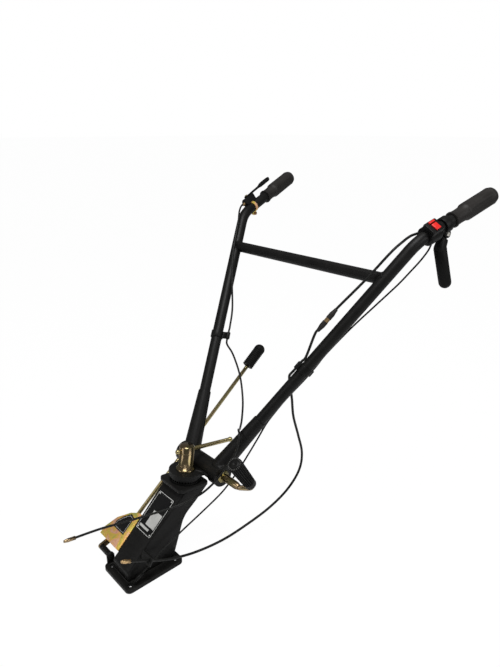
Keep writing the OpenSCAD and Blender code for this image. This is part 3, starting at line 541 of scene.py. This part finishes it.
brown_zinc = tinted_zinc("brown_zinc", 16.0, (0.13, 0.105, 0.06), share=0.5, metallic=1.0, dulling=0.8)
olive_zinc = tinted_zinc("olive_zinc", 14.0, (0.50, 0.43, 0.20), share=0.55, metallic=0.9)
smooth_copy("swivel_nut", brown_zinc, "head", "zinc_plate")
smooth_copy("swivel_bar", olive_zinc, "head", "zinc_plate")
pin_lean = math.radians(7.4)
pin_foot = Vector((-129, 0, 206)) * MM
pin_up = Vector((-math.sin(pin_lean), 0.0, math.cos(pin_lean)))
pin_fore = Vector((math.cos(pin_lean), 0.0, math.sin(pin_lean)))
seat_front = pin_foot + (pin_fore * 30.5 - pin_up * 33.6) * MM
weld("weld_seat_front", [seat_front + Vector((0.0, y * MM, 0.0)) for y in (-38, -19, 0, 19, 38)],
     "column", radius=1.8, closed=False)


def around(i, count):
    """The cosine and sine of one of a circle's even steps."""
    return math.cos(2 * math.pi * i / count), math.sin(2 * math.pi * i / count)


def skinned(bm, rings, loop=False):
    """Faces between neighbouring rings of corners; a ring of one corner closes to a point."""
    faces = []
    sides = max(len(ring) for ring in rings)
    for low, high in zip(rings, rings[1:] + (rings[:1] if loop else [])):
        for i in range(sides):
            corners = []
            for ring, spot in ((low, i), (low, i + 1), (high, i + 1), (high, i)):
                vert = ring[spot % len(ring)]
                if vert not in corners:
                    corners.append(vert)
            if len(corners) > 2:
                faces.append(bm.faces.new(corners))
    return faces


def turned(name, profile, origin, axis, material, body, slot, *nodes, sides=48, crease=35.0):
    """A turned piece: its outline as (radius, height) in mm about an axis; six sides make a hexagon."""
    turn = Vector(axis).normalized().to_track_quat("Z", "Y")
    bm = bmesh.new()
    rings = []
    for radius, height in profile:
        spots = [around(i, sides) for i in range(sides if radius > 0 else 1)]
        rings.append([bm.verts.new(Vector(origin) + turn @ (Vector((radius * x, radius * y, height)) * MM))
                      for x, y in spots])
    skinned(bm, rings, loop=len(rings[0]) > 1 and len(rings[-1]) > 1)
    return settled(name, shaded(meshed(bm, name), crease), material, body, slot, *nodes)


# Turned beads round the nut
bead_outline = [(17.55, -0.7), (17.9, -0.2), (17.9, 0.2), (17.55, 0.7)]
for height in (12, 45):
    turned(f"nut_groove_{height}", bead_outline, pin_foot + pin_up * height * MM, pin_up, yellow_zinc,
           "head", "zinc_plate")

# ---- Clamp lever ----
# Bolt through the cross tube with a washer, a stout hub, a cranked rod and a fluted plastic grip.
# The metal is yellow zinc plated; the grip is moulded black plastic pressed on the rod.

pivot = Vector((-180, 0, 200)) * MM
moulded_black = dark_skin("moulded_black", (0.0036, 0.0036, 0.0036), (0.0062, 0.0062, 0.006),
                          rough=(0.38, 0.50), grain=1500.0, depth=0.00015, dust=0.02, gloss=0.15)
for node in ("clamp_bolt", "clamp_rod"):
    smooth_copy(node, yellow_zinc, "head", "zinc_plate")
hub_outline = [(0, 0), (8, 0), (8.6, 0.6), (9, 10), (9, 40), (8.5, 46), (7.2, 51),
               (6.3, 54), (0, 54)]
hub_foot = pivot + Vector((0, 78.8, 0)) * MM
turned("clamp_hub_skin", hub_outline, hub_foot, Vector((0, 1, 0)), yellow_zinc, "head", "zinc_plate",
       "clamp_hub")
smooth_copy("clamp_grip", moulded_black, "head", "black_plastic", crease=30.0)

# Radial ribs on the grip's end: one bar per point of a ring, set on the end face
rib_ring, rib_in = repeat_tree("rib_ring", ("Count", "Int"), ("Radius", "Float"), ("Size", "Vector"),
                               ("Place", "Vector"), ("Turn", "Vector"))
rib_circle, rib_bar, rib_spot, rib_aim, rib_put, rib_move, rib_real, rib_coat, rib_out = added(
    rib_ring, "GeometryNodeMeshCircle", "GeometryNodeMeshCube", "GeometryNodeInputPosition",
    "FunctionNodeAlignEulerToVector", "GeometryNodeInstanceOnPoints", "GeometryNodeTransform",
    "GeometryNodeRealizeInstances", "GeometryNodeSetMaterial", "NodeGroupOutput")
joined(rib_ring,
       (rib_in["Count"], rib_circle.inputs["Vertices"]), (rib_in["Radius"], rib_circle.inputs["Radius"]),
       (rib_in["Size"], rib_bar.inputs["Size"]), (rib_spot.outputs[0], rib_aim.inputs["Vector"]),
       (rib_circle.outputs["Mesh"], rib_put.inputs["Points"]), (rib_bar.outputs["Mesh"], rib_put.inputs["Instance"]),
       (rib_aim.outputs[0], rib_put.inputs["Rotation"]), (rib_put.outputs["Instances"], rib_move.inputs["Geometry"]),
       (rib_in["Place"], rib_move.inputs["Translation"]), (rib_in["Turn"], rib_move.inputs["Rotation"]),
       (rib_move.outputs["Geometry"], rib_real.inputs["Geometry"]),
       (rib_real.outputs["Geometry"], rib_coat.inputs["Geometry"]),
       (rib_in["Finish"], rib_coat.inputs["Material"]), (rib_coat.outputs["Geometry"], rib_out.inputs["Geometry"]))

clamp_way = Vector((0.545, 0.06, 0.836)).normalized()
clamp_end = pivot + Vector((-20, 160, 2)) * MM + clamp_way * 112.2 * MM
# The ribs on the grip's domed end are painted light grey, a painted highlight where the dome catches the light.
end_highlight_grey = dark_skin("end_highlight_grey", (0.075, 0.074, 0.070), (0.110, 0.108, 0.102),
                       rough=(0.40, 0.52), grain=1500.0, depth=0.00015, dust=0.04, gloss=0.3)
grown("clamp_grip_ribs", [clamp_end], [], rib_ring,
      {"Count": 22, "Radius": 13.4 * MM, "Size": (3.2 * MM, 1.0 * MM, 1.8 * MM), "Place": tuple(clamp_end),
       "Turn": tuple(clamp_way.to_track_quat("Z", "Y").to_euler()), "Finish": end_highlight_grey}, "head")

# ---- Feet, tubes and cross bar ----
# Tapered sockets on bushings hold the two bent tubes; a straight tube is welded between them.
# All are steel with a satin black powder coat; welds run round the sockets' mouths and the bar's ends.

tube_foot = pivot + Vector((0, 48.5, 0)) * MM
tube_way = Vector((-0.5583, 0.3387, 0.7573))
socket_rise, socket_weld_r = 163.3 * MM, 14.6 * MM
cross_rise, cross_weld_r = 589.0 * MM, 14.2 * MM
weld_steps = 40


def socket_rim():
    """The ring where the left tube leaves its socket."""
    turn = tube_way.normalized().to_track_quat("Z", "Y")
    return [tube_foot + tube_way * socket_rise + turn @ Vector((socket_weld_r * x, socket_weld_r * y, 0))
            for x, y in (around(i, weld_steps) for i in range(weld_steps))]


def cross_rim():
    """The line where the cross bar, which runs along Y, meets the left tube's inner side."""
    rim = []
    flat = Vector((0, 1, 0)) - tube_way * tube_way.y
    for x, z in (around(i, weld_steps) for i in range(weld_steps)):
        start = tube_foot + tube_way * cross_rise + Vector((x, 0.0, z)) * cross_weld_r
        across = start - tube_foot - tube_way * (start - tube_foot).dot(tube_way)
        b, c = across.dot(flat), flat.length_squared
        root = b * b - c * (across.length_squared - cross_weld_r ** 2)
        step = (-b - math.sqrt(max(root, 0.0))) / c
        rim.append(start + Vector((0.0, step, 0.0)))
    return rim


left_hand, right_hand = Vector((1, 1, 1)), Vector((1, -1, 1))
for side, mirror in (("left", left_hand), ("right", right_hand)):
    smooth_copy("foot_" + side, satin_black, "handlebar", "black_paint", crease=30.0)
    smooth_copy("tube_" + side, satin_black, "handlebar", "black_paint")
    weld("weld_socket_" + side, [spot * mirror for spot in socket_rim()], "handlebar", radius=1.0)
    weld("weld_cross_" + side, [spot * mirror for spot in cross_rim()], "handlebar")
smooth_copy("crossbar", satin_black, "handlebar", "black_paint")

# ---- Handle grips ----
# Moulded rubber sleeves pushed on the tube ends: a flange, a slim neck for the thumb,
# a fuller body with four shallow flats and a rounded end with a raised ring.

grip_rubber = dark_skin("grip_rubber", (0.0105, 0.0092, 0.0084), (0.0165, 0.0148, 0.0138),
                        rough=(0.46, 0.60), grain=2200.0, depth=0.0002, dust=0.05, gloss=0.26)
grip_root = Vector((-568, 283.9, 726.3)) * MM
grip_way = Vector((-0.9215, 0.1719, 0.3482))
grip_fall = Vector((-0.346, 0.064, -0.936))
grip_side = Vector((-0.182, -0.983, 0))
grip_start = 110.0
bore_outline = [(0, 122), (14.4, 122), (14.4, 0)]
neck_outline = [(17.6, 0), (19, 1), (19, 3.4), (18.2, 4.4), (17.5, 6.5), (17.2, 12), (17, 22),
                (17.3, 32), (18, 37), (19.6, 40.5), (20.6, 43), (20.75, 46)]
body_outline = [(20.75, z) for z in (52, 58, 66, 74, 82, 90, 98, 106, 114, 120)]
end_outline = [(20.6, 124), (20.6, 126), (21, 127), (21, 129.4), (20.4, 130.4), (20, 133),
               (18.6, 137.5), (15.5, 141), (10, 142.8), (4, 143), (0, 143)]
flat_start, flat_stop, flat_fade, flat_dip, flat_half = 45.0, 124.0, 8.0, 2.0, math.radians(29.0)
widest_bore = 15.0


def on_grip(fall, side, along, mirror=left_hand):
    """A point by the handlebar's upper end, in mm: down from the tube's axis, to its side and along it."""
    return (grip_root + (grip_fall * fall + grip_side * side + grip_way * along) * MM) * mirror


def flat_depth(angle, along):
    """How far the nearest of the four flats lies below the full round."""
    share = min(1.0, max(0.0, (along - flat_start) / flat_fade), max(0.0, (flat_stop - along) / flat_fade))
    near = abs((angle + math.pi / 4) % (math.pi / 2) - math.pi / 4)
    return flat_dip * share * max(0.0, 1.0 - (near / flat_half) ** 4)


def hand_grip(side, mirror, sides=72):
    """A closed grip from the end of its bore, out round the flange and along to its end."""
    bm = bmesh.new()
    rings = []
    for radius, along in bore_outline + neck_outline + body_outline + end_outline:
        ring = []
        for i in range(sides if radius else 1):
            angle = 2 * math.pi * i / sides
            reach = radius - (flat_depth(angle, along) if radius > widest_bore else 0.0)
            ring.append(bm.verts.new(
                on_grip(reach * math.cos(angle), reach * math.sin(angle), grip_start + along, mirror)))
        rings.append(ring)
    skinned(bm, rings)
    name = "grip_" + side + "_skin"
    settled(name, shaded(meshed(bm, name), 40.0), grip_rubber, "handlebar", "grip_rubber", "grip_" + side)


hand_grip("left", left_hand)
hand_grip("right", right_hand)

# ---- Stop switch ----
# Two moulded shells clamped round the left tube, with a raised block turned to the outside.
# A broad red rocker and a narrow red strip stand on the block; two screws hold the shells.

signal_red = dark_skin("signal_red", (0.66, 0.016, 0.012), (0.74, 0.020, 0.015),
                       rough=(0.30, 0.40), grain=1200.0, depth=0.0001, dust=0.02, gloss=0.4)
switch_turn = math.radians(35.0)
switch_out = grip_fall * math.cos(switch_turn) + grip_side * math.sin(switch_turn)
switch_across = grip_side * math.cos(switch_turn) - grip_fall * math.sin(switch_turn)
shell_r, block_half, block_top, block_r, bore_r, rim_r = 22.0, 16.0, 28.0, 3.0, 14.3, 1.8
shell_start, shell_stop, shell_steps, corner_steps = 23.0, 57.0, 44, 6


def arc(radius, degrees):
    return radius * math.cos(math.radians(degrees)), radius * math.sin(math.radians(degrees))


# The outline starts and ends where the round shell meets the block's sides
meet = math.degrees(math.acos(-math.sqrt(shell_r ** 2 - block_half ** 2) / shell_r))
corner_turn = 90.0 / corner_steps
shell_line = [arc(shell_r, meet - 2 * meet * k / shell_steps) for k in range(shell_steps + 1)]
for centre, start in ((-block_half + block_r, -90.0), (block_half - block_r, -180.0)):
    turns = [arc(block_r, start - corner_turn * k) for k in range(corner_steps + 1)]
    shell_line += [(-block_top + block_r + x, centre + y) for x, y in turns]
# Stations along the tube as (inset, along), with a rounded rim at both ends; no inset stands for the bore
rim_turns = [arc(rim_r, corner_turn * k) for k in range(corner_steps + 1)]
stations = [(rim_r - y, shell_start + rim_r - x) for x, y in rim_turns]
stations += [(inset, shell_start + shell_stop - along) for inset, along in reversed(stations)]
bm = bmesh.new()
rings = []
for inset, along in [(None, shell_start)] + stations + [(None, shell_stop)]:
    ring = []
    for x, y in shell_line:
        size = math.hypot(x, y)
        share = bore_r / size if inset is None else 1.0 - inset / size
        ring.append(bm.verts.new(on_grip(0.0, 0.0, along) + (switch_out * x + switch_across * y) * share * MM))
    rings.append(ring)
skinned(bm, rings, loop=True)
settled("switch_box_skin", shaded(meshed(bm, "switch_box_skin"), 32.0), moulded_black, "handlebar",
        "black_plastic", "switch_box")
smooth_copy("switch_rockers", signal_red, "handlebar", "red_plastic", edge=1.3)
screw_outline = [(0, 0), (1.9, 0), (2.4, 0.5), (2.4, 1), (1.6, 1.7), (0, 1.9)]
for spot, along in enumerate((27.5, 52.5)):
    turned(f"switch_screw_{spot}", screw_outline, on_grip(0, 0, along) + switch_out * 21.8 * MM, switch_out,
           yellow_zinc, "handlebar", "zinc_plate", sides=24)

# ---- Clutch lever ----
# A black moulded lever with a broad shoulder, on a pin between the cheeks of a moulded bracket.
# A thick rubber sleeve covers its end; the cable's jacket ends in a seat on the bracket's inner side.

smooth_copy("clutch_bracket", moulded_black, "handlebar", "black_plastic", edge=0.8, steps=2, corner=60.0)


def lofted(name, sections, material, body, slot, *nodes, steps=6, crease=40.0):
    """A bar through rounded oblong sections as (centre, wide axis, thick axis, half width, half thickness)."""
    round_share = 0.7
    bm = bmesh.new()
    rings = []
    for centre, wide, thick, half_w, half_t in sections:
        r = min(half_w, half_t) * round_share
        ring = []
        for turn, w, t in ((0, 1, 1), (90, -1, 1), (180, -1, -1), (270, 1, -1)):
            for x, y in (arc(r, turn + 90 * k / steps) for k in range(steps + 1)):
                offset = wide * (w * (half_w - r) + x) + thick * (t * (half_t - r) + y)
                ring.append(bm.verts.new(centre + offset * MM))
        rings.append(ring)
    skinned(bm, rings)
    bm.faces.new(rings[0])
    bm.faces.new(rings[-1])
    return settled(name, shaded(meshed(bm, name), crease), material, body, slot, *nodes)


# The lever's middle line and sizes in mm: (fall, along, half width, half thickness)
lever_path = [
    (15.2, 85, 3, 3), (17, 85, 5.2, 3), (21, 85, 6, 3), (26.5, 80.6, 8, 3),
    (28.6, 78.6, 9.6, 3), (29.4, 77.8, 10.4, 8), (31.5, 75.6, 11, 9.4), (36, 71.2, 11.6, 10.4),
    (41, 66.6, 12.2, 11.4), (45.5, 63.6, 12.8, 12.6), (50, 63, 13.2, 13.2), (58, 63, 8, 3),
    (96, 63, 8, 3)]
lever_parts = []
for i, (fall, along, half_w, half_t) in enumerate(lever_path):
    before, after = lever_path[max(i - 1, 0)], lever_path[min(i + 1, len(lever_path) - 1)]
    way = (grip_fall * (after[0] - before[0]) + grip_way * (after[1] - before[1])).normalized()
    lever_parts.append((on_grip(fall, 0.0, along), way.cross(grip_side).normalized(), grip_side, half_w, half_t))
lofted("clutch_lever_arm", lever_parts, moulded_black, "handlebar", "black_plastic", "clutch_lever")
sleeve_rubber = dark_skin("sleeve_rubber", (0.0042, 0.0042, 0.004), (0.0072, 0.007, 0.0068),
                          rough=(0.46, 0.58), grain=2000.0, depth=0.0002, dust=0.02, gloss=0.10)
smooth_copy("clutch_sleeve", sleeve_rubber, "handlebar", "grip_rubber")


def toned_metal(name, grain, tints, rough, metallic, span=(0, 1)):
    """A metal whose noise, as (scale, detail, warp), sets its roughness and blends two tints over a span."""
    material, tree, shader, where = new_finish(name)
    tone = noise(tree, where["Object"], *grain)
    joined(tree, (blended(tree, ranged(tree, tone, *span), *tints), shader.inputs["Base Color"]),
           (ranged(tree, tone, 0.3, 0.7, *rough), shader.inputs["Roughness"]))
    shader.inputs["Metallic"].default_value = metallic
    return material


brass_bright = toned_metal("brass_bright", (220, 4, 0.4), ((0.50, 0.31, 0.14), (0.70, 0.50, 0.26)),
                           rough=(0.22, 0.40), metallic=1.0)
pale_zinc = toned_metal("pale_zinc", (260, 3, 0.3), ((0.70, 0.68, 0.60), (0.88, 0.86, 0.80)),
                        rough=(0.25, 0.40), metallic=0.4)
pin_outline = [(0, 0), (4.6, 0), (4.6, 1.6), (3.8, 2.6), (1.2, 2.8), (1.2, 2), (0, 2)]
for name, hand in (("out", -1.0), ("in", 1.0)):
    turned("lever_pin_" + name, pin_outline, on_grip(21.0, hand * 8.3, 85.0), grip_side * hand, pale_zinc,
           "handlebar", "zinc_plate", sides=32)
turned("clutch_seat_nut", [(3.4, 0), (5, 0), (5, 6), (3.4, 6)], on_grip(0, 26.5, 69.5), grip_way,
       yellow_zinc, "handlebar", "zinc_plate", sides=6)

# ---- Throttle ----
# A moulded housing strapped to the right tube by a zinc plated band with a bolt under it.
# The lever turns on a screw on the housing's top, twists on edge and widens to a thumb paddle.

smooth_copy("throttle_drum", moulded_black, "handlebar", "black_plastic", edge=1.2, corner=60.0)
smooth_copy("throttle_band", cloud_zinc, "handlebar", "zinc_plate")
drum_turn = math.radians(27.0)
drum_top = -(grip_fall * math.cos(drum_turn) + grip_side * math.sin(drum_turn))
drum_cross = grip_side * math.cos(drum_turn) - grip_fall * math.sin(drum_turn)
drum_axis = drum_top * right_hand


def on_drum(rise, along):
    """A point over the right tube's axis, in mm towards the housing's top and along the tube."""
    return (grip_root + drum_top * rise * MM + grip_way * along * MM) * right_hand


lever_hub = [(0, 0), (6.6, 0), (7, 0.6), (7, 3.2), (6.2, 4), (0, 4)]
turned("throttle_lever_hub", lever_hub, on_drum(32.3, 46), drum_axis, moulded_black, "handlebar",
       "black_plastic", "throttle_lever", sides=40)
# The lever's sections in mm and degrees: (along, rise, half width, half thickness, twist)
paddle_parts = []
for along, rise, half_w, half_t, twist in (
        (48, 34.3, 3.4, 2, 0), (58, 34.3, 3.4, 2, 0), (68, 34.3, 3.3, 2.2, 25),
        (78, 34.3, 3.2, 2.4, 55), (88, 34.5, 3.1, 2.4, 76), (104, 34.9, 3.2, 2.4, 82),
        (112, 35.3, 4, 2.6, 82), (119, 36, 5.8, 2.8, 82), (130, 36.4, 6.2, 2.8, 82),
        (148, 36.6, 6.2, 2.8, 82), (160, 36.6, 6, 2.8, 82), (164.5, 36.6, 5.2, 2.4, 82),
        (166.8, 36.6, 3.6, 1.6, 82)):
    x, y = arc(1.0, twist)
    wide, thick = (drum_cross * x + drum_top * y) * right_hand, (drum_top * x - drum_cross * y) * right_hand
    paddle_parts.append((on_drum(rise, along), wide, thick, half_w, half_t))
lofted("throttle_paddle", paddle_parts, moulded_black, "handlebar", "black_plastic")
turned("throttle_screw", [(0, 0), (4.4, 0), (4.4, 1.2), (3.4, 2.2), (0, 2.4)], on_drum(36.3, 46),
       drum_axis, yellow_zinc, "handlebar", "zinc_plate", sides=32)
rusty_zinc = toned_metal("rusty_zinc", (160, 5, 0.6), ((0.42, 0.33, 0.13), (0.36, 0.13, 0.06)),
                         rough=(0.32, 0.55), metallic=0.8, span=(0.35, 0.65))
for name, hand, deep in (("head", -1.0, 4.6), ("nut", 1.0, 4.4)):
    turned("band_bolt_" + name, [(0, 0), (6.2, 0), (6.2, 0.9), (5.4, 1), (5.4, deep), (4.6, deep + 0.7),
                                 (0.0, deep + 0.7)],
           on_grip(20.5, hand * 2.0, 45.5, right_hand), grip_side * right_hand * hand, rusty_zinc, "handlebar",
           "zinc_plate", sides=6)
turned("throttle_ferrule", [(2.6, 0), (4, 0), (4, 5), (3.4, 9), (2.6, 9)], on_drum(21, 24.3),
       grip_way * right_hand * -1.0, brass_bright, "handlebar", "brass", sides=24)

# ---- Gear lever ----
# A straight zinc plated rod with a ribbed rubber grip, riveted to a flat arm below the shift plate.
# The arm turns on the pin of the flange's tab.

smooth_copy("gear_rod", olive_zinc, "column", "zinc_plate")
smooth_copy("gear_arm", yellow_zinc, "column", "zinc_plate")
smooth_copy("gear_grip", sleeve_rubber, "column", "grip_rubber", crease=50.0)

# ---- Cable clips and inline adjuster ----
# Moulded clips snap round the tubes and hold the cables; the left one has a loop for the stop wire.
# A brass adjuster with two rubber boots sits in the clutch cable above its clip.

for side in ("left", "right"):
    smooth_copy("clip_" + side, moulded_black, "handlebar", "black_plastic", edge=0.5, steps=2, corner=60.0)
loop_outline = [(2.3, -8), (4.2, -8), (4.7, -7.4), (4.7, 7.4), (4.2, 8), (2.3, 8)]
turned("clip_left_loop", loop_outline, pivot + Vector((-194.2, 161.6, 231.8)) * MM, tube_way, moulded_black,
       "handlebar", "black_plastic", sides=24)
boot_top = pivot + Vector((-233, 189.6, 377.8)) * MM
boot_low = pivot + Vector((-206, 173.4, 341.2)) * MM
boot_way = (boot_low - boot_top).normalized()
boot_mid = (boot_top + boot_low) / 2
boot_reach = 32.0 * MM
boot_outline = [
    (3.3, 0), (3.6, 0), (4.2, 1), (4.6, 6), (5.8, 12), (6.5, 17), (6.1, 18.4), (6.5, 19.8), (6.1, 21.2),
    (6.5, 22.6), (6.1, 24), (6.5, 25.4), (6.5, 27), (5.3, 27), (3.3, 27)]
turned("adjuster_ferrule", [(3.4, -5), (5.6, -5), (5.6, 5), (3.4, 5)], boot_mid, boot_way, brass_bright,
       "handlebar", "brass", "cable_adjuster", sides=6)
for name, way in (("top", boot_way), ("low", boot_way * -1.0)):
    turned("adjuster_boot_" + name, boot_outline, boot_mid - way * boot_reach, way, grip_rubber, "handlebar",
           "grip_rubber")

# ---- Cables ----
# Clutch and throttle cables in black plastic jackets and a thin stop wire run from the grips down the tubes.
# Below the clips they hang free, each cut into two jackets, and each ends in its own fitting.

clutch_upper = [
    (-462.7, 270.5, 552.7), (-429.5, 264.5, 540), (-398.4, 260, 535), (-366, 261, 526), (-338, 251, 504),
    (-291, 224, 446), (-242, 195, 390), (-233, 189.6, 377.8), (-206, 173.4, 341.2), (-197, 168, 329),
    (-181.3, 158.5, 276.6), (-173.5, 153.8, 266), (-165.7, 149, 255.4)]
clutch_lower = [
    (-165.7, 149, 255.4), (-157.9, 144.3, 244.8), (-157, 139, 238), (-156.5, 132, 228.5), (-162, 126, 216),
    (-168, 125, 190), (-172, 127, 160), (-182, 124, 110), (-204, 121, 50), (-222, 120, -10), (-216, 118, -60),
    (-182, 112, -104), (-130, 102, -138), (-66, 88, -164), (4, 74, -182), (80, 62, -182), (150, 60, -160),
    (200, 60, -133), (246, 60, -107)]
throttle_upper = [
    (-400.6, -296.4, 552.7), (-387.7, -294, 547.8), (-369, -282, 534), (-346, -262, 504), (-300, -230, 437),
    (-265, -195, 373), (-237, -162, 303), (-209.9, -140.7, 263.5), (-202, -136, 252.9), (-194.2, -131.2, 242.3)]
throttle_lower = [
    (-194.2, -131.2, 242.3), (-186.4, -126.5, 231.7), (-183.5, -121.5, 222), (-189.5, -105, 196.5),
    (-183, -71, 150), (-158, -32, 104), (-118, 10, 82), (-88, 38, 80), (-69.5, 56.3, 88), (-54, 70, 99.5),
    (-40.5, 88, 102.5), (-28, 99, 86), (-16, 96, 56), (8, 88, 24), (33, 83, 1), (58, 70, -22), (92, 56, -36),
    (130, 44, -41), (176, 33, -40), (230, 25, -34), (284, 20, -25), (340, 20, -16)]
stop_upper = [
    (-432.8, 292.2, 518.3), (-428.5, 288.5, 502.5), (-407.5, 284.5, 482), (-380, 278.5, 460), (-357, 265, 432),
    (-319, 242, 391), (-269, 211, 336), (-225, 180, 277), (-205, 168, 247), (-181.5, 154, 215),
    (-147, 132.5, 171.5), (-124, 120, 140.5)]
stop_lower = [
    (-124, 120, 140.5), (-106.5, 109.5, 112.5), (-87, 99.5, 74), (-72, 90, 42), (-52, 78, 2), (-34, 66, -32),
    (-8, 57, -62), (44, 53, -88), (100, 50, -112), (150, 48, -135), (190, 48, -156), (212, 48, -168)]
curve_steps = 8


def curve_through(route):
    """A smooth line through a route's points, in metres."""
    points = [pivot + Vector(p) * MM for p in route]
    line = []
    for i in range(len(points) - 1):
        a, b = points[max(i - 1, 0)], points[i]
        c, d = points[i + 1], points[min(i + 2, len(points) - 1)]
        for t in (k / curve_steps for k in range(curve_steps)):
            bend, swing = 2 * a - 5 * b + 4 * c - d, 3 * b - a - 3 * c + d
            line.append((2 * b + (c - a) * t + bend * t * t + swing * t ** 3) / 2)
    return line + [points[-1]]


# Cable jacket: extruded black plastic with faint rings along it and a soft sheen
cable_black, cable_tree, cable_shader, cable_where = new_finish("cable_black")
cable_skin = placed_group(cable_tree, skin_grain, Vector=cable_where["Object"], Scale=1800.0)
cable_tone = blended(cable_tree, cable_skin["Tone"], (0.008, 0.008, 0.008), (0.013, 0.013, 0.012))
cable_rough = ranged(cable_tree, cable_skin["Tone"], 0.0, 1.0, to_low=0.30, to_high=0.42)
cable_run = cable_tree.nodes.new("ShaderNodeSeparateXYZ")
joined(cable_tree, (cable_tone, cable_shader.inputs["Base Color"]), (cable_rough, cable_shader.inputs["Roughness"]),
       (cable_where["UV"], cable_run.inputs[0]))
cable_shader.inputs["Specular IOR Level"].default_value = 0.16
ring_rate = 2600.0
cable_wave = sums(cable_tree, "SINE", sums(cable_tree, "MULTIPLY", cable_run.outputs[0], ring_rate), 0.0)
relief(cable_tree, cable_shader, cable_wave, depth=0.00012, strength=0.25)


def jacket(name, line, diameter, *nodes, sides=14):
    """A cable's jacket along a line, with its length and girth as UV; a body, where it gets one, is set by the
    caller.
    """
    ways = [(line[min(i + 1, len(line) - 1)] - line[max(i - 1, 0)]).normalized() for i in range(len(line))]
    up = ways[0].orthogonal().normalized()
    bm = bmesh.new()
    uv = bm.loops.layers.uv.new("UVMap")
    rings, runs, run = [], [], 0.0
    for i, point in enumerate(line):
        up = (up - ways[i] * up.dot(ways[i])).normalized()
        out = ways[i].cross(up)
        run += (point - line[i - 1]).length if i else 0.0
        runs.append(run)
        rings.append([bm.verts.new(point + (up * x + out * y) * diameter / 2 * MM)
                      for x, y in (around(k, sides) for k in range(sides))])
    for spot, face in enumerate(skinned(bm, rings)):
        i, k = divmod(spot, sides)
        for loop, (u, v) in zip(face.loops, ((i, k), (i, k + 1), (i + 1, k + 1), (i + 1, k))):
            loop[uv].uv = (runs[u], v / sides)
    bm.faces.new(list(reversed(rings[0])))
    bm.faces.new(rings[-1])
    mesh = shaded(meshed(bm, name), 50.0)
    mesh.materials.append(cable_black)
    piece = linked(name, mesh)
    if nodes:
        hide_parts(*nodes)
    return piece


clutch_wide, throttle_wide, stop_wide = 6.0, 5.0, 4.0
for run, route, wide in (("clutch_cable", clutch_upper, clutch_wide),
                         ("throttle_cable", throttle_upper, throttle_wide), ("stop_wire", stop_upper, stop_wide)):
    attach(jacket(run + "_upper_jacket", curve_through(route), wide, run + "_upper"), "handlebar")

# Each free stretch is cut at a route point into two jackets, with a joint's two points listed for the part above the
# cut and for the part below it
for run, route, wide, cut, above, below in (
        ("clutch_cable", clutch_lower, clutch_wide, 10,
         ((-160, 123, 213), (-222, 120, -10)), ((-182, 112, -104), (80, 62, -182))),
        ("throttle_cable", throttle_lower, throttle_wide, 15,
         ((-40, 88, 104), (33, 88, 104)), ((92, 56, -36), (284, 56, -36))),
        ("stop_wire", stop_lower, stop_wide, 6,
         ((-107, 113, 108), (-107, 113, 2)), ((-8, 57, -62), (100, 57, -62)))):
    line = curve_through(route)
    top = jacket(run + "_lower_jacket", line[:cut * curve_steps + 1], wide, run + "_lower")
    end = jacket(run + "_lower_tail", line[cut * curve_steps:], wide)
    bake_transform(top)
    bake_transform(end)

smooth_copy("clutch_clevis", brass_bright, "column", "brass")
smooth_copy("throttle_end", yellow_zinc, "column", "zinc_plate")
smooth_copy("wire_connector", moulded_black, "column", "black_plastic")
